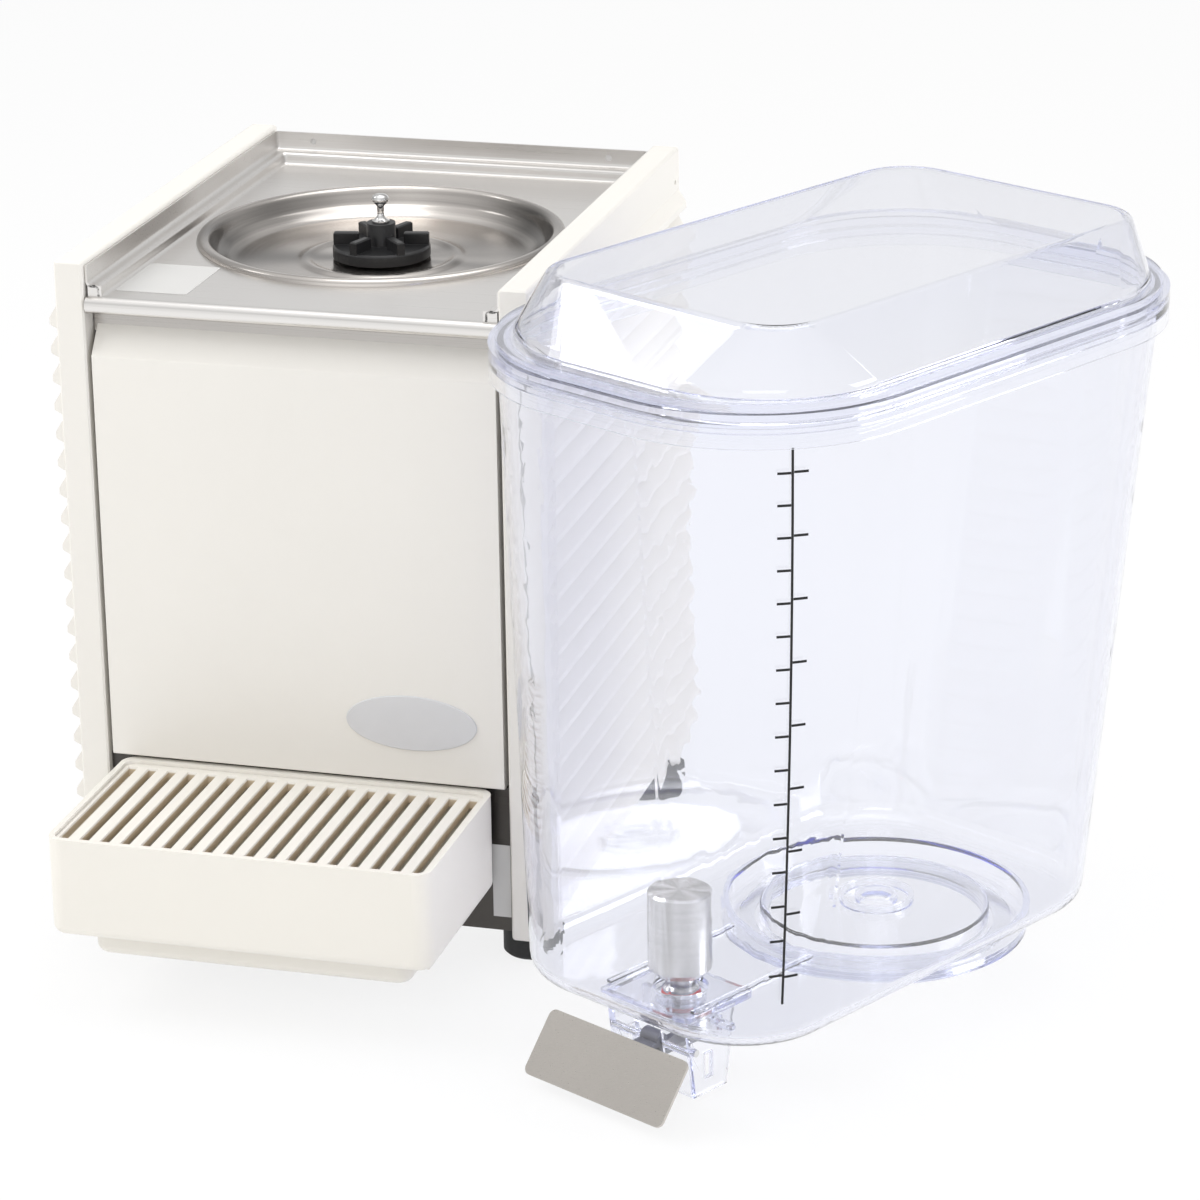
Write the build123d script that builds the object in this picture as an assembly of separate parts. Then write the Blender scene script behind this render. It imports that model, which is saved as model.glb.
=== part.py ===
from build123d import *
import os
from math import cos, pi, radians, sin, tan

# A refrigerated drink dispenser, in millimetres, +Z up. While the pieces are modelled the cabinet's
# front is at y = 0, its middle at x = 0 and the surface under its feet at z = 0. The clear bowl
# stands beside it, taken off, and has a frame of its own.

# Cabinet
cabinet_width = 260.0
cabinet_depth = 308.0
side_thickness = 16.0
side_bottom = 15.6
side_top = 380.0
edge_round = 2.0
sheet = 1.2
fit_gap = 0.3
inner_half = cabinet_width / 2 - side_thickness
side_clearance = 10.0

# Moulded ribs on the outside of the side panels
rib_pitch = 15.8
rib_height = 4.6
rib_front = 11.0
rib_ramp = 12.0
rib_top_margin = 22.0
rib_bottom_margin = 8.0
rib_valley = 2.6
rib_undercut = 2.6
rib_crest = 3.4
panel_hole_radius = 1.5

# Feet, base pan, lower plate and rear panel
foot_radius = 16.5
foot_inset_x = 11.5
foot_inset_y = 26.0
pan_bottom = 19.0
pan_wall = 26.0
vent_count = 7
vent_length = 70.0
vent_left = -(inner_half - side_clearance - 6)
vent_back_gap = 14.0
vent_width = 6.0
plate_y = 5.0
plate_top = 102.3
rear_inset = 4.4
rear_top_gap = 3.0
louvre_length = inner_half - 36
louvre_pitch = 13.0
louvre_rows = 11
louvre_slot = 5.0
louvre_hood = 3.0

# Front panel
front_bottom = 102.6
front_break = 329.0
front_slope_run = 12.0
front_slope_rise = 16.0
front_side_gap = 2.6
front_setback = 0.8
front_wall = 3.0

# Deck
deck_top = 360.0
deck_ledge = 7.0
deck_step = 7.0
deck_wall_top = 377.6
deck_roll = 3.4
apron_bottom = 340.0

# Evaporator dish
dish_y = 155.2
dish_rim_radius = inner_half - 12.2
dish_rim_rise = 3.4
dish_depth = 12.0
dish_floor_radius = dish_rim_radius - 15.8
dish_wall_radius = dish_rim_radius - 10.3
dish_lip_radius = dish_rim_radius - 7.8
deck_hole_radius = dish_rim_radius - 5.8
dish_bead_radius = 42.0
dish_bead_rise = 1.6
dish_floor = deck_top - dish_depth

# Impeller, the pin that it turns on and the magnetic drive
pin_radius = 2.5
pin_top = 384.0
pin_ball_radius = 4.8
pin_collar_radius = 6.0
running_fit = 0.06
impeller_radius = 27.0
impeller_disc = 6.5
impeller_hub_radius = 8.0
impeller_hub_top = 368.0
vane_top = 362.4
vane_count = 6
vane_thickness = 4.6
vane_inner = 12.5
magnet_radius = 30.0
magnet_height = 14.0
magnet_gap = 6.2
motor_radius = 36.0
motor_length = 52.0
motor_shaft_radius = 4.0
motor_shaft_grip = 18.0
bracket_drop = 47.0
bracket_z = deck_top - bracket_drop
bracket_thickness = 2.0
bracket_width = 56.0
bracket_half = inner_half - side_clearance

# Evaporator coil and its insulation
coil_tube = 4.0
coil_inner = dish_floor_radius - 36
coil_turns = 4
foam_radius = dish_floor_radius - 6
coil_pitch = 9.2
foam_thickness = 14.0

# Compressor
base_half_x = 74.0
base_half_y = 58.0
compressor_x = inner_half - side_clearance - base_half_x
compressor_y = 86.0
compressor_radius = 60.0
compressor_bottom = 37.0
compressor_height = 148.0
compressor_base = 3.0
grommet_radius = 9.0
grommet_x = 62.0
grommet_y = 46.0
relay_width = 34.0
relay_depth = 46.0
relay_height = 52.0
relay_rise = 80.0
capacitor_radius = 16.0
capacitor_length = 66.0
capacitor_x = -(inner_half - side_clearance - capacitor_radius)
capacitor_y = 60.0

# Condenser, its fan and the pipework
condenser_side_gap = 24.0
condenser_width = 2 * (inner_half - condenser_side_gap)
condenser_height = 128.0
condenser_bottom = 32.0
condenser_back_gap = 46.0
condenser_front = cabinet_depth - condenser_back_gap
condenser_thickness = 26.0
fin_pitch = 6.0
fin_thickness = 0.6
condenser_tube = 4.0
condenser_rows = 5
shroud_gap = 2.0
shroud_ring = 12.0
fan_radius = 54.0
fan_clearance = 3.0
blade_count = 5
blade_turn = 28.0
blade_thickness = 1.6
fan_hub_radius = 14.0
fan_hub_length = 16.0
fan_motor_radius = 26.0
fan_motor_length = 34.0
fan_shaft_radius = 3.0
drier_radius = 9.5
drier_length = 80.0
drier_inset = 14.0
drier_front_gap = 142.0
drier_y = condenser_front - drier_front_gap
drier_z = 120.0
pipe_radius = 3.2
thin_pipe_radius = 1.6

# Control box at the back, with the thermostat, the switch and the cable inlet
box_left = -(inner_half - side_clearance)
box_width = 100.0
box_bottom = 206.0
box_height = 72.0
box_depth = 60.0
thermostat_x = box_left + 24
thermostat_size = 36.0
thermostat_depth = 30.0
knob_radius = 13.0
knob_height = 11.0
knob_stem_radius = 3.0
switch_x = box_left + 60
rocker_width = 11.0
rocker_height = 20.0
rocker_proud = 3.0
switch_frame = 3.0
switch_depth = 20.0
rocker_pivot_radius = 1.2
rocker_pivot_grip = 1.1
gland_x = switch_x
gland_z = 226.0
gland_radius = 8.0
gland_bore_radius = 4.2
gland_length = 14.0

# Drip tray, its grille and the rails that carry it
tray_side_gap = 25.0
tray_width = cabinet_width - 2 * tray_side_gap
tray_front = -115.0
tray_top = 101.0
tray_break = 46.0
tray_bottom = 29.4
tray_tub_inset = 17.0
tray_wall = 3.0
tray_corner = 9.0
tray_back_gap = 0.8
tray_back_wall = 5.6
grille_drop = 1.8
grille_thickness = 5.0
grille_ledge = 4.0
slot_count = 18
slot_width = 4.8
slot_pitch = (tray_width - slot_width) / slot_count
slot_margin = 9.0
rail_width = 7.0
rail_height = 3.4
rail_front_gap = 14.0

# Badge and labels, all left bare
badge_width = 73.0
badge_height = 31.0
badge_side_gap = 17.0
badge_x = inner_half - badge_side_gap - badge_width / 2
badge_z = 136.5
badge_thickness = 1.0
label_thickness = 0.3
deck_label_size = (40.0, 54.0)
deck_label_at = (-(inner_half - side_clearance - deck_label_size[0] / 2), 47.0)
data_label_size = (10.0, 42.0)
data_label_side_gap = 1.4
data_label_at = (inner_half - data_label_side_gap - data_label_size[0] / 2, 48.0)

# Bowl, with z = 0 under its round boss and its middle line on x = 0
bowl_x = cabinet_width / 2 + 158.8
bowl_y = 2.5
bowl_stand = 33.5
bowl_turn = -28.1
rim_width = 238.0
rim_depth = 364.0
rim_corner = 93.0
rim_shift = 1.5
rim_low = 336.6
rim_band = 5.0
rim_overhang = 4.5
rim_lip = 1.6
skirt_height = 7.0
bowl_wall = 3.4
bowl_floor = 12.0
floor_width = 180.0
floor_depth = 297.0
floor_corner = 52.0
floor_shift = -15.8
floor_round = 12.0
ridge_x = 27.0
ridge_width = 2.4
ridge_rise = 1.6
ridge_front = -138.0
ridge_back = -45.0
boss_radius = 81.5
boss_y = 35.6
boss_plate = 4.0
boss_opening = 57.0
seal_inner = 62.0
seal_outer = 72.0
seal_thickness = 2.0

# Clear cover over the impeller, in the bowl's boss
cover_radius = 60.0
cover_top = 13.0
cover_wall = 2.5
cover_hub_radius = 20.0
cover_hub_rise = 4.0
cover_eye_radius = 9.0

# Lid
lid_flange = 5.0
lid_step = 4.0
lid_step_inset = 3.5
hood_width = 216.0
hood_depth = 331.0
hood_corner = 73.0
hood_shift = 3.5
lid_top_width = 167.0
lid_top_depth = 286.0
lid_top_corner = 26.0
lid_top_shift = 9.0
lid_top_z = 380.5
lid_wall = 2.6
lid_round = 5.0
lid_spigot = 4.0

# Scale printed on the bowl's front right corner, in litres and half gallons
scale_angle_low = 27.5
scale_angle_high = 36.7
scale_bottom = 38.0
scale_top = 329.0
scale_line = 1.2
scale_thickness = 0.3
scale_pieces = 8
print_gap = 0.12
tick_left = 6.6
tick_right = 7.0
litre_ticks = 16
first_litre = 53.9
litre_pitch = 18.95
litre_shrink = 0.097
half_gallon_ticks = 9
first_half_gallon = 52.8
half_gallon_pitch = 34.2
half_gallon_shrink = 0.15

# Valve under the bowl's front
valve_y = -115.6
flange_half = 29.5
flange_front = -144.0
flange_back = -94.0
flange_thickness = 4.0
valve_half = 27.5
valve_front = -142.0
valve_back = -106.0
valve_low_front = -136.5
valve_low_back = -112.0
valve_low = -33.0
valve_wall = 3.0
lever_window_low = -20.0
side_window_y = (-128.0, -122.0)
side_window_z = (-25.0, -11.0)
lock_y = -122.0
lock_radius = 2.4
lock_length = 14.0
seal_bore_radius = 9.6
seal_step_z = 12.4
guide_radius = 9.8
guide_bore_radius = 7.4
guide_top = 3.0
guide_bottom = -6.0

# Plunger: a heavy steel weight with a stem and two red rings
weight_radius = 16.0
weight_bottom = 22.4
weight_top = 68.4
weight_edge = 1.2
weight_shoulder = 4.0
neck_radius = 7.2
ring_outer_radius = 9.3
ring_thickness = 3.4
ring_z = 11.4
low_ring_radius = 7.1
low_ring_thickness = 2.4
low_ring_z = -1.0
stem_radius = 5.2
stem_bottom = -13.0
stem_point = 4.0
stem_tip = 2.0

# Push handle
pivot_y = -136.0
pivot_z = -7.5
pivot_radius = 2.0
lever_half = 6.0
lever_thickness = 2.6
lever_tip = -106.0
plate_width = 95.0
plate_length = 36.0
plate_thickness = 1.5
plate_corner = 4.0
plate_top_y = -161.0
plate_top_z = 2.5
plate_lean = 38.0

# Fasteners
screw_head_radius = 3.6
screw_head_height = 2.2
screw_radius = 1.8
screw_length = 8.0
rear_screw_length = 2.9


def block(x0, x1, y0, y1, z0, z1):
    """A box between two corners."""
    middle = ((x0 + x1) / 2, (y0 + y1) / 2, (z0 + z1) / 2)
    return Pos(*middle) * Box(abs(x1 - x0), abs(y1 - y0), abs(z1 - z0))


def upright(radius, z0, z1, x=0.0, y=0.0):
    """A cylinder along Z."""
    return Pos(x, y, (z0 + z1) / 2) * Cylinder(radius, z1 - z0)


def along_y(radius, y0, y1, x=0.0, z=0.0):
    """A cylinder along Y."""
    return Pos(x, (y0 + y1) / 2, z) * Rot(90, 0, 0) * Cylinder(radius, y1 - y0)


def along_x(radius, x0, x1, y=0.0, z=0.0):
    """A cylinder along X."""
    return Pos((x0 + x1) / 2, y, z) * Rot(0, 90, 0) * Cylinder(radius, x1 - x0)


def slab(width, depth, corner, z0, z1, x=0.0, y=0.0):
    """A plate with rounded corners in plan."""
    return extrude(Pos(x, y, z0) * RectangleRounded(width, depth, corner), z1 - z0)


def spun(points, x=0.0, y=0.0):
    """A solid of revolution about a vertical axis, from points (radius, z)."""
    face = make_face(Plane.XZ * Polyline(*points, close=True))
    return Pos(x, y, 0) * revolve(face, Axis.Z)


def across(points, x0, x1):
    """A prism along X, from points (y, z)."""
    face = make_face(Plane.YZ * Polyline(*points, close=True))
    return Pos(x0, 0, 0) * extrude(face, x1 - x0, dir=(1, 0, 0))


def tube(points, radii, radius):
    """A round tube along straight runs joined by arcs."""
    path = FilletPolyline(*points, radius=radii)
    section = Plane(origin=path @ 0, z_dir=path % 0) * Circle(radius)
    return sweep(section, path=path)


def bend_radii(points):
    """Arcs as large as the runs allow."""
    corners = [Vector(*p) for p in points]
    radii = []
    for a, b, c in zip(corners, corners[1:], corners[2:]):
        turn = radians((b - a).get_angle(c - b))
        radii.append(0.45 * min((b - a).length, (c - b).length) / tan(turn / 2))
    return radii


def pipe(points, radius):
    """A pipe with arcs as large as its runs allow."""
    return tube(points, bend_radii(points), radius)


def group(solids):
    """Separate solids kept in one node."""
    return Compound(children=[s for part in solids for s in part.solids()])


nodes = {}

# Side panels


def rib(z0):
    """One scallop: undercut below, a rounded crest and a slope above, ramped at the front."""
    face_x = cabinet_width / 2
    slope_top = rib_pitch - rib_valley
    points = [
        (face_x - 1, z0), (face_x, z0), (face_x + rib_height * 0.8, z0 + rib_undercut * 0.7),
        (face_x + rib_height, z0 + rib_undercut), (face_x + rib_height, z0 + rib_undercut + rib_crest),
        (face_x + rib_height * 0.72, z0 + rib_undercut + rib_crest + 2.2),
        (face_x, z0 + slope_top), (face_x - 1, z0 + slope_top),
    ]
    outline = make_face(Plane.XZ * Polyline(*points, close=True))
    length = cabinet_depth - edge_round - rib_front
    bar = Pos(0, rib_front, 0) * extrude(outline, length, dir=(0, 1, 0))
    ramp = make_face(Polyline(
        (face_x, rib_front), (face_x + rib_height + 1, rib_front + rib_ramp * (rib_height + 1) / rib_height),
        (face_x + rib_height + 1, rib_front - 1), (face_x, rib_front - 1), close=True,
    ))
    bar -= Pos(0, 0, z0 - 1) * extrude(ramp, rib_pitch + 2, dir=(0, 0, 1))
    return bar


def side_panel():
    """The thick moulded right side, scalloped outside."""
    outer = cabinet_width / 2
    body = block(inner_half, outer, 0, cabinet_depth, side_bottom, side_top)
    body = fillet(body.edges().filter_by(Axis.Y), edge_round)
    ends = body.faces().sort_by(Axis.Y)
    body = chamfer(ends[0].edges() + ends[-1].edges(), edge_round * 0.5)
    room = side_top - rib_top_margin - side_bottom - rib_bottom_margin
    count = int(room / rib_pitch)
    top = side_top - rib_top_margin
    ribs = [rib(top - (i + 1) * rib_pitch) for i in range(count)]
    body = body.fuse(*ribs)
    hole = along_x(panel_hole_radius, outer - 5, outer + 5, cabinet_depth - 9, side_top - 19)
    return body - hole


# Both sides are the same moulding, so the left one is turned half round and its ramps are at the back
half_round = Pos(0, cabinet_depth, 0) * Rot(0, 0, 180)
nodes["right_side_panel"] = side_panel()
nodes["left_side_panel"] = half_round * nodes["right_side_panel"]

# Base pan, feet, lower plate and rear panel
pan_half = inner_half - fit_gap
pan_front = plate_y + sheet
rear_y = cabinet_depth - rear_inset
pan = block(-pan_half, pan_half, pan_front, rear_y, pan_bottom, pan_bottom + pan_wall)
pan -= block(
    -pan_half + sheet, pan_half - sheet, pan_front + sheet, rear_y - sheet,
    pan_bottom + sheet, pan_bottom + pan_wall + 1,
)
for i in range(vent_count):
    vent_y = condenser_front - vent_back_gap - i * vent_width * 2
    pan -= block(
        vent_left, vent_left + vent_length, vent_y, vent_y + vent_width,
        pan_bottom - 1, pan_bottom + sheet + 1,
    )
pan_floor = pan_bottom + sheet
nodes["base_pan"] = pan

foot_x = cabinet_width / 2 - foot_inset_x
foot_places = [
    (sx * foot_x, y) for sx in (-1, 1) for y in (foot_inset_y, cabinet_depth - foot_inset_y * 1.9)
]
foot = spun([
    (0, 0), (foot_radius - 1.5, 0), (foot_radius, 1.5), (foot_radius, side_bottom), (0, side_bottom)
])
nodes["feet"] = group([Pos(x, y, 0) * foot for x, y in foot_places])

nodes["lower_front_plate"] = block(-pan_half, pan_half, plate_y, pan_front, pan_bottom, plate_top)

rear_low = pan_bottom
rear_high = side_top - rear_top_gap
rear = block(-pan_half, pan_half, rear_y, rear_y + sheet, rear_low, rear_high)
louvre_z = [36 + i * louvre_pitch for i in range(louvre_rows)]
louvre_x = [-louvre_length / 2 - 7, louvre_length / 2 + 7]
hoods = []
for x in louvre_x:
    for z in louvre_z:
        rear -= block(
            x - louvre_length / 2, x + louvre_length / 2, rear_y - 1, rear_y + sheet + 1, z, z + louvre_slot
        )
        hoods.append(across(
            [
                (rear_y + sheet * 0.5, z + louvre_slot + 2), (rear_y + sheet, z + louvre_slot + 2),
                (rear_y + sheet + louvre_hood, z + 1), (rear_y + sheet + louvre_hood - 0.9, z + 0.6),
                (rear_y + sheet * 0.5, z + louvre_slot),
            ],
            x - louvre_length / 2, x + louvre_length / 2,
        ))
rear = rear.fuse(*hoods)
thermostat_z = box_bottom + box_height / 2
switch_z = box_bottom + box_height * 0.66
rear -= along_y(knob_stem_radius + fit_gap, rear_y - 1, rear_y + sheet + 1, thermostat_x, thermostat_z)
rear -= block(
    switch_x - rocker_width / 2 - switch_frame / 2, switch_x + rocker_width / 2 + switch_frame / 2,
    rear_y - 1, rear_y + sheet + 1,
    switch_z - rocker_height / 2 - switch_frame / 2, switch_z + rocker_height / 2 + switch_frame / 2,
)
rear -= along_y(gland_radius + running_fit, rear_y - 1, rear_y + sheet + 1, gland_x, gland_z)
nodes["rear_panel"] = rear

# Front panel: a bent shell with returned edges
front_half = inner_half - front_side_gap
front_top = front_break + front_slope_rise
outline = [
    (front_setback, front_bottom), (front_setback, front_break),
    (front_setback + front_slope_run, front_top),
]
inner_break = front_break - front_wall * 0.3
front_profile = outline + [
    (front_setback + front_slope_run, front_top - front_wall * 1.6),
    (front_setback + front_wall, inner_break - front_wall * 0.4), (front_setback + front_wall, front_bottom),
]
front = across(front_profile, -front_half, front_half)
front_back = front_setback + front_slope_run
return_profile = outline + [(front_back, front_bottom)]
for x in (-front_half, front_half - front_wall):
    front += across(return_profile, x, x + front_wall)
front += block(
    -front_half, front_half, front_setback, front_back, front_bottom, front_bottom + front_wall
)
front = fillet(front.edges().filter_by(Axis.X).sort_by(Axis.Y)[:2], 1.2)
nodes["front_panel"] = front

# Deck: a formed steel pan with a stepped wall at the sides and back and a rolled front edge
deck_back = rear_y - fit_gap
low_half = pan_half - deck_ledge
deck_under = deck_top - sheet
deck_front = deck_roll
deck = block(-low_half, low_half, deck_front, deck_back - deck_ledge, deck_under, deck_top + deck_step)
deck += block(-pan_half, pan_half, deck_front, deck_back, deck_top + deck_step - sheet, deck_wall_top)
deck -= block(
    -low_half + sheet, low_half - sheet, deck_front - 1, deck_back - deck_ledge - sheet,
    deck_top, deck_wall_top + 1,
)
deck -= block(
    -pan_half + sheet, pan_half - sheet, deck_front - 1, deck_back - sheet,
    deck_top + deck_step, deck_wall_top + 1,
)
deck -= upright(deck_hole_radius, deck_under - 1, deck_top + 1, 0, dish_y)
roll_z = deck_top - deck_roll
edge_half = pan_half - 0.5
roll = along_x(deck_roll, -edge_half, edge_half, deck_roll, roll_z)
roll -= along_x(deck_roll - sheet, -edge_half - 1, edge_half + 1, deck_roll, roll_z)
roll -= block(-edge_half - 1, edge_half + 1, deck_roll, deck_roll * 3, roll_z - deck_roll * 2, deck_top + 1)
deck += roll
apron_top = roll_z - deck_roll
apron_y = front_back + fit_gap
deck += block(-edge_half, edge_half, deck_roll, apron_y + sheet, apron_top, apron_top + sheet)
deck += block(-edge_half, edge_half, apron_y, apron_y + sheet, apron_bottom, apron_top + sheet)
nodes["top_deck"] = deck

# Evaporator dish
rim_z = deck_top + dish_rim_rise
dish_under = dish_floor - sheet
nodes["evaporator_dish"] = spun(
    [
        (pin_radius, dish_floor), (dish_bead_radius - 3, dish_floor),
        (dish_bead_radius - 1, dish_floor + dish_bead_rise),
        (dish_bead_radius + 1, dish_floor + dish_bead_rise),
        (dish_bead_radius + 3, dish_floor), (dish_floor_radius, dish_floor),
        (dish_wall_radius - 2, dish_floor + 2.4), (dish_wall_radius, dish_floor + 6),
        (dish_lip_radius, rim_z - 1), (dish_lip_radius + 1.4, rim_z), (dish_rim_radius - 3, rim_z),
        (dish_rim_radius - 1, rim_z - 1), (dish_rim_radius, deck_top), (dish_rim_radius - 1.4, deck_top),
        (dish_rim_radius - 2.2, rim_z - 1.8), (dish_rim_radius - 3.4, rim_z - sheet),
        (dish_lip_radius + 1.8, rim_z - sheet), (dish_lip_radius + 1, rim_z - 2),
        (dish_wall_radius + sheet, dish_floor + 5.6), (dish_wall_radius - 1.2, dish_floor + 1.2),
        (dish_floor_radius + 0.4, dish_under), (pin_radius, dish_under),
    ],
    0, dish_y,
)

# Impeller pin and impeller
collar_top = dish_floor + 1
nut_bottom = dish_under - 3.6
ball_z = pin_top - pin_ball_radius
pin = upright(pin_radius, nut_bottom, ball_z, 0, dish_y)
pin += upright(pin_collar_radius, dish_floor, collar_top, 0, dish_y)
pin += upright(pin_collar_radius, nut_bottom, dish_under, 0, dish_y)
pin += Pos(0, dish_y, ball_z) * Sphere(pin_ball_radius)
nodes["impeller_pin"] = pin

impeller_low = collar_top + fit_gap
disc_top = impeller_low + impeller_disc
impeller = upright(impeller_radius, impeller_low, disc_top, 0, dish_y)
impeller = chamfer(impeller.faces().sort_by(Axis.Z)[-1].edges(), 1.2)
impeller += upright(impeller_hub_radius, impeller_low, impeller_hub_top, 0, dish_y)
for i in range(vane_count):
    vane = block(
        vane_inner, impeller_radius - 0.6, -vane_thickness / 2, vane_thickness / 2, disc_top - 1, vane_top
    )
    vane = chamfer(vane.faces().sort_by(Axis.Z)[-1].edges(), 0.7)
    impeller += Pos(0, dish_y, 0) * Rot(0, 0, 360 / vane_count * i + 12) * vane
impeller -= upright(pin_radius + running_fit, impeller_low - 1, impeller_hub_top + 1, 0, dish_y)
nodes["impeller"] = impeller

# Magnetic drive: rotor with its shaft, motor and bracket
magnet_top = dish_under - magnet_gap
magnet_low = magnet_top - magnet_height
motor_top = bracket_z
shaft_low = motor_top - motor_shaft_grip
rotor = upright(magnet_radius, magnet_low, magnet_top, 0, dish_y)
rotor += upright(motor_shaft_radius, shaft_low, magnet_low, 0, dish_y)
nodes["drive_magnet"] = rotor

motor = upright(motor_radius, motor_top - motor_length, motor_top, 0, dish_y)
motor = chamfer(motor.faces().sort_by(Axis.Z)[0].edges(), 3)
motor -= upright(motor_shaft_radius + running_fit, shaft_low - 1, motor_top + 1, 0, dish_y)
nodes["drive_motor"] = motor

bracket_top = bracket_z + bracket_thickness
bracket_y = (dish_y - bracket_width / 2, dish_y + bracket_width / 2)
bracket = block(-bracket_half, bracket_half, *bracket_y, bracket_z, bracket_top)
for side in (-1, 1):
    leg_outer = side * bracket_half
    bracket += block(leg_outer, leg_outer - side * bracket_thickness, *bracket_y, bracket_z, deck_under)
bracket -= upright(motor_shaft_radius * 3, bracket_z - 1, bracket_top + 1, 0, dish_y)
nodes["motor_bracket"] = bracket

# Evaporator coil: one flat spiral of half turns under the dish, with both its ends at the front
coil_z = dish_under - fit_gap - coil_tube
half_turns = []
for i in range(2 * coil_turns):
    arc = CenterArc((coil_pitch / 2 * (i % 2), 0), coil_inner + coil_pitch / 2 * i, 180 * (i % 2), 180)
    half_turns.append(Pos(0, dish_y, coil_z) * Rot(0, 0, -90) * arc)
coil_path = Wire(half_turns)
coil_start_y = dish_y - coil_inner
coil_end_y = coil_start_y - coil_turns * coil_pitch
coil_section = Plane(origin=(0, coil_start_y, coil_z), z_dir=(1, 0, 0)) * Circle(coil_tube)
nodes["evaporator_coil"] = sweep(coil_section, path=coil_path)

capillary_down_x = -12.5
foam_top = coil_z - coil_tube - fit_gap
foam_low = foam_top - foam_thickness
foam = upright(foam_radius, foam_low, foam_top, 0, dish_y)
foam -= upright(magnet_radius + 8, foam_low - 1, foam_top + 1, 0, dish_y)
foam -= upright(4, foam_low - 1, foam_top + 1, capillary_down_x, coil_start_y)
nodes["insulation_ring"] = foam

# Compressor on rubber grommets
base_top = compressor_bottom
base_low = base_top - compressor_base
grommet_places = [
    (compressor_x + sx * grommet_x, compressor_y + sy * grommet_y) for sx in (-1, 1) for sy in (-1, 1)
]
base = slab(
    2 * base_half_x, 2 * base_half_y, 12, base_low, base_top, compressor_x, compressor_y
)
shell_top = compressor_bottom + compressor_height
shell = spun(
    [
        (0, base_top), (compressor_radius - 8, base_top), (compressor_radius - 1, base_top + 8),
        (compressor_radius, base_top + 24), (compressor_radius, base_top + 64),
        (compressor_radius + 2, base_top + 64), (compressor_radius + 2, base_top + 70),
        (compressor_radius, base_top + 70), (compressor_radius - 1, shell_top - 34),
        (compressor_radius - 12, shell_top - 12), (compressor_radius - 30, shell_top - 2), (0, shell_top),
    ],
    compressor_x, compressor_y,
)
suction_x = compressor_x + 30
suction_y = compressor_y - 36
suction_z = shell_top + 5
discharge_x = compressor_x + compressor_radius + 8
discharge_y = compressor_y + 10
discharge_z = base_top + 40
compressor = base + shell + upright(pipe_radius + 1.2, shell_top - 30, suction_z, suction_x, suction_y)
compressor += along_x(thin_pipe_radius * 2.4, discharge_x - 16, discharge_x, discharge_y, discharge_z)
nodes["compressor"] = compressor
grommet = upright(grommet_radius, pan_floor, base_low)
nodes["compressor_grommets"] = group([Pos(x, y, 0) * grommet for x, y in grommet_places])
nut = upright(grommet_radius * 0.7, base_top, base_top + 4)
nodes["compressor_nuts"] = group([Pos(x, y, 0) * nut for x, y in grommet_places])

relay_x = compressor_x - compressor_radius
relay = block(
    relay_x - relay_width + 8, relay_x + 14, compressor_y - relay_depth / 2, compressor_y + relay_depth / 2,
    base_top + relay_rise - relay_height / 2, base_top + relay_rise + relay_height / 2,
)
relay = fillet(relay.edges().filter_by(Axis.Z), 3)
relay -= upright(compressor_radius + fit_gap, base_top, shell_top, compressor_x, compressor_y)
relay -= upright(
    compressor_radius + 2 + fit_gap, base_top + 63, base_top + 71, compressor_x, compressor_y
)
nodes["start_relay"] = relay

capacitor = upright(capacitor_radius, pan_floor, pan_floor + capacitor_length, capacitor_x, capacitor_y)
nodes["run_capacitor"] = chamfer(capacitor.faces().sort_by(Axis.Z)[-1].edges(), 2)

# Condenser: fins on a serpentine of tubes, and its end plates
condenser_back = condenser_front + condenser_thickness
condenser_top = condenser_bottom + condenser_height
row_pitch = condenser_height / condenser_rows
tube_y = (condenser_front + condenser_back) / 2
row_z = [condenser_bottom + row_pitch * (i + 0.5) for i in range(condenser_rows)]


def fin(x, thickness, low):
    """One plate, pierced by the tubes."""
    plate = block(x, x + thickness, condenser_front, condenser_back, low, condenser_top)
    for z in row_z:
        plate -= along_x(condenser_tube, x - 1, x + thickness + 1, tube_y, z)
    return plate


fin_count = int((condenser_width - 12) / fin_pitch)
fin_start = -(fin_count - 1) * fin_pitch / 2
nodes["condenser_fins"] = group(
    [fin(fin_start + i * fin_pitch, fin_thickness, condenser_bottom) for i in range(fin_count)]
)
end_x = condenser_width / 2
nodes["condenser_end_plates"] = group([
    fin(-end_x, sheet, pan_floor), fin(end_x - sheet, sheet, pan_floor)
])
serpentine = [along_x(condenser_tube, -end_x - 2, end_x + 2, tube_y, z) for z in row_z]
for i in range(condenser_rows - 1):
    side = 1 if i % 2 == 0 else -1
    middle = (row_z[i] + row_z[i + 1]) / 2
    arc = Plane.XZ * (Pos(side * (end_x + 2), middle) * CenterArc((0, 0), row_pitch / 2, -90 * side, 180))
    bend = Pos(0, tube_y, 0) * arc
    section = Plane(origin=bend @ 0, z_dir=bend % 0) * Circle(condenser_tube)
    serpentine.append(sweep(section, path=bend))
nodes["condenser_tubes"] = serpentine[0].fuse(*serpentine[1:])

# Fan, its motor and shroud
shroud_back = condenser_front
shroud_front = shroud_back - sheet
fan_z = (condenser_bottom + condenser_top) / 2
shroud = block(-end_x, end_x, shroud_front, shroud_back, pan_floor, condenser_top)
shroud += along_y(fan_radius + fan_clearance + sheet, shroud_front - shroud_ring, shroud_front, 0, fan_z)
shroud -= along_y(fan_radius + fan_clearance, shroud_front - shroud_ring - 1, shroud_back + 1, 0, fan_z)
nodes["fan_shroud"] = shroud

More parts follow.
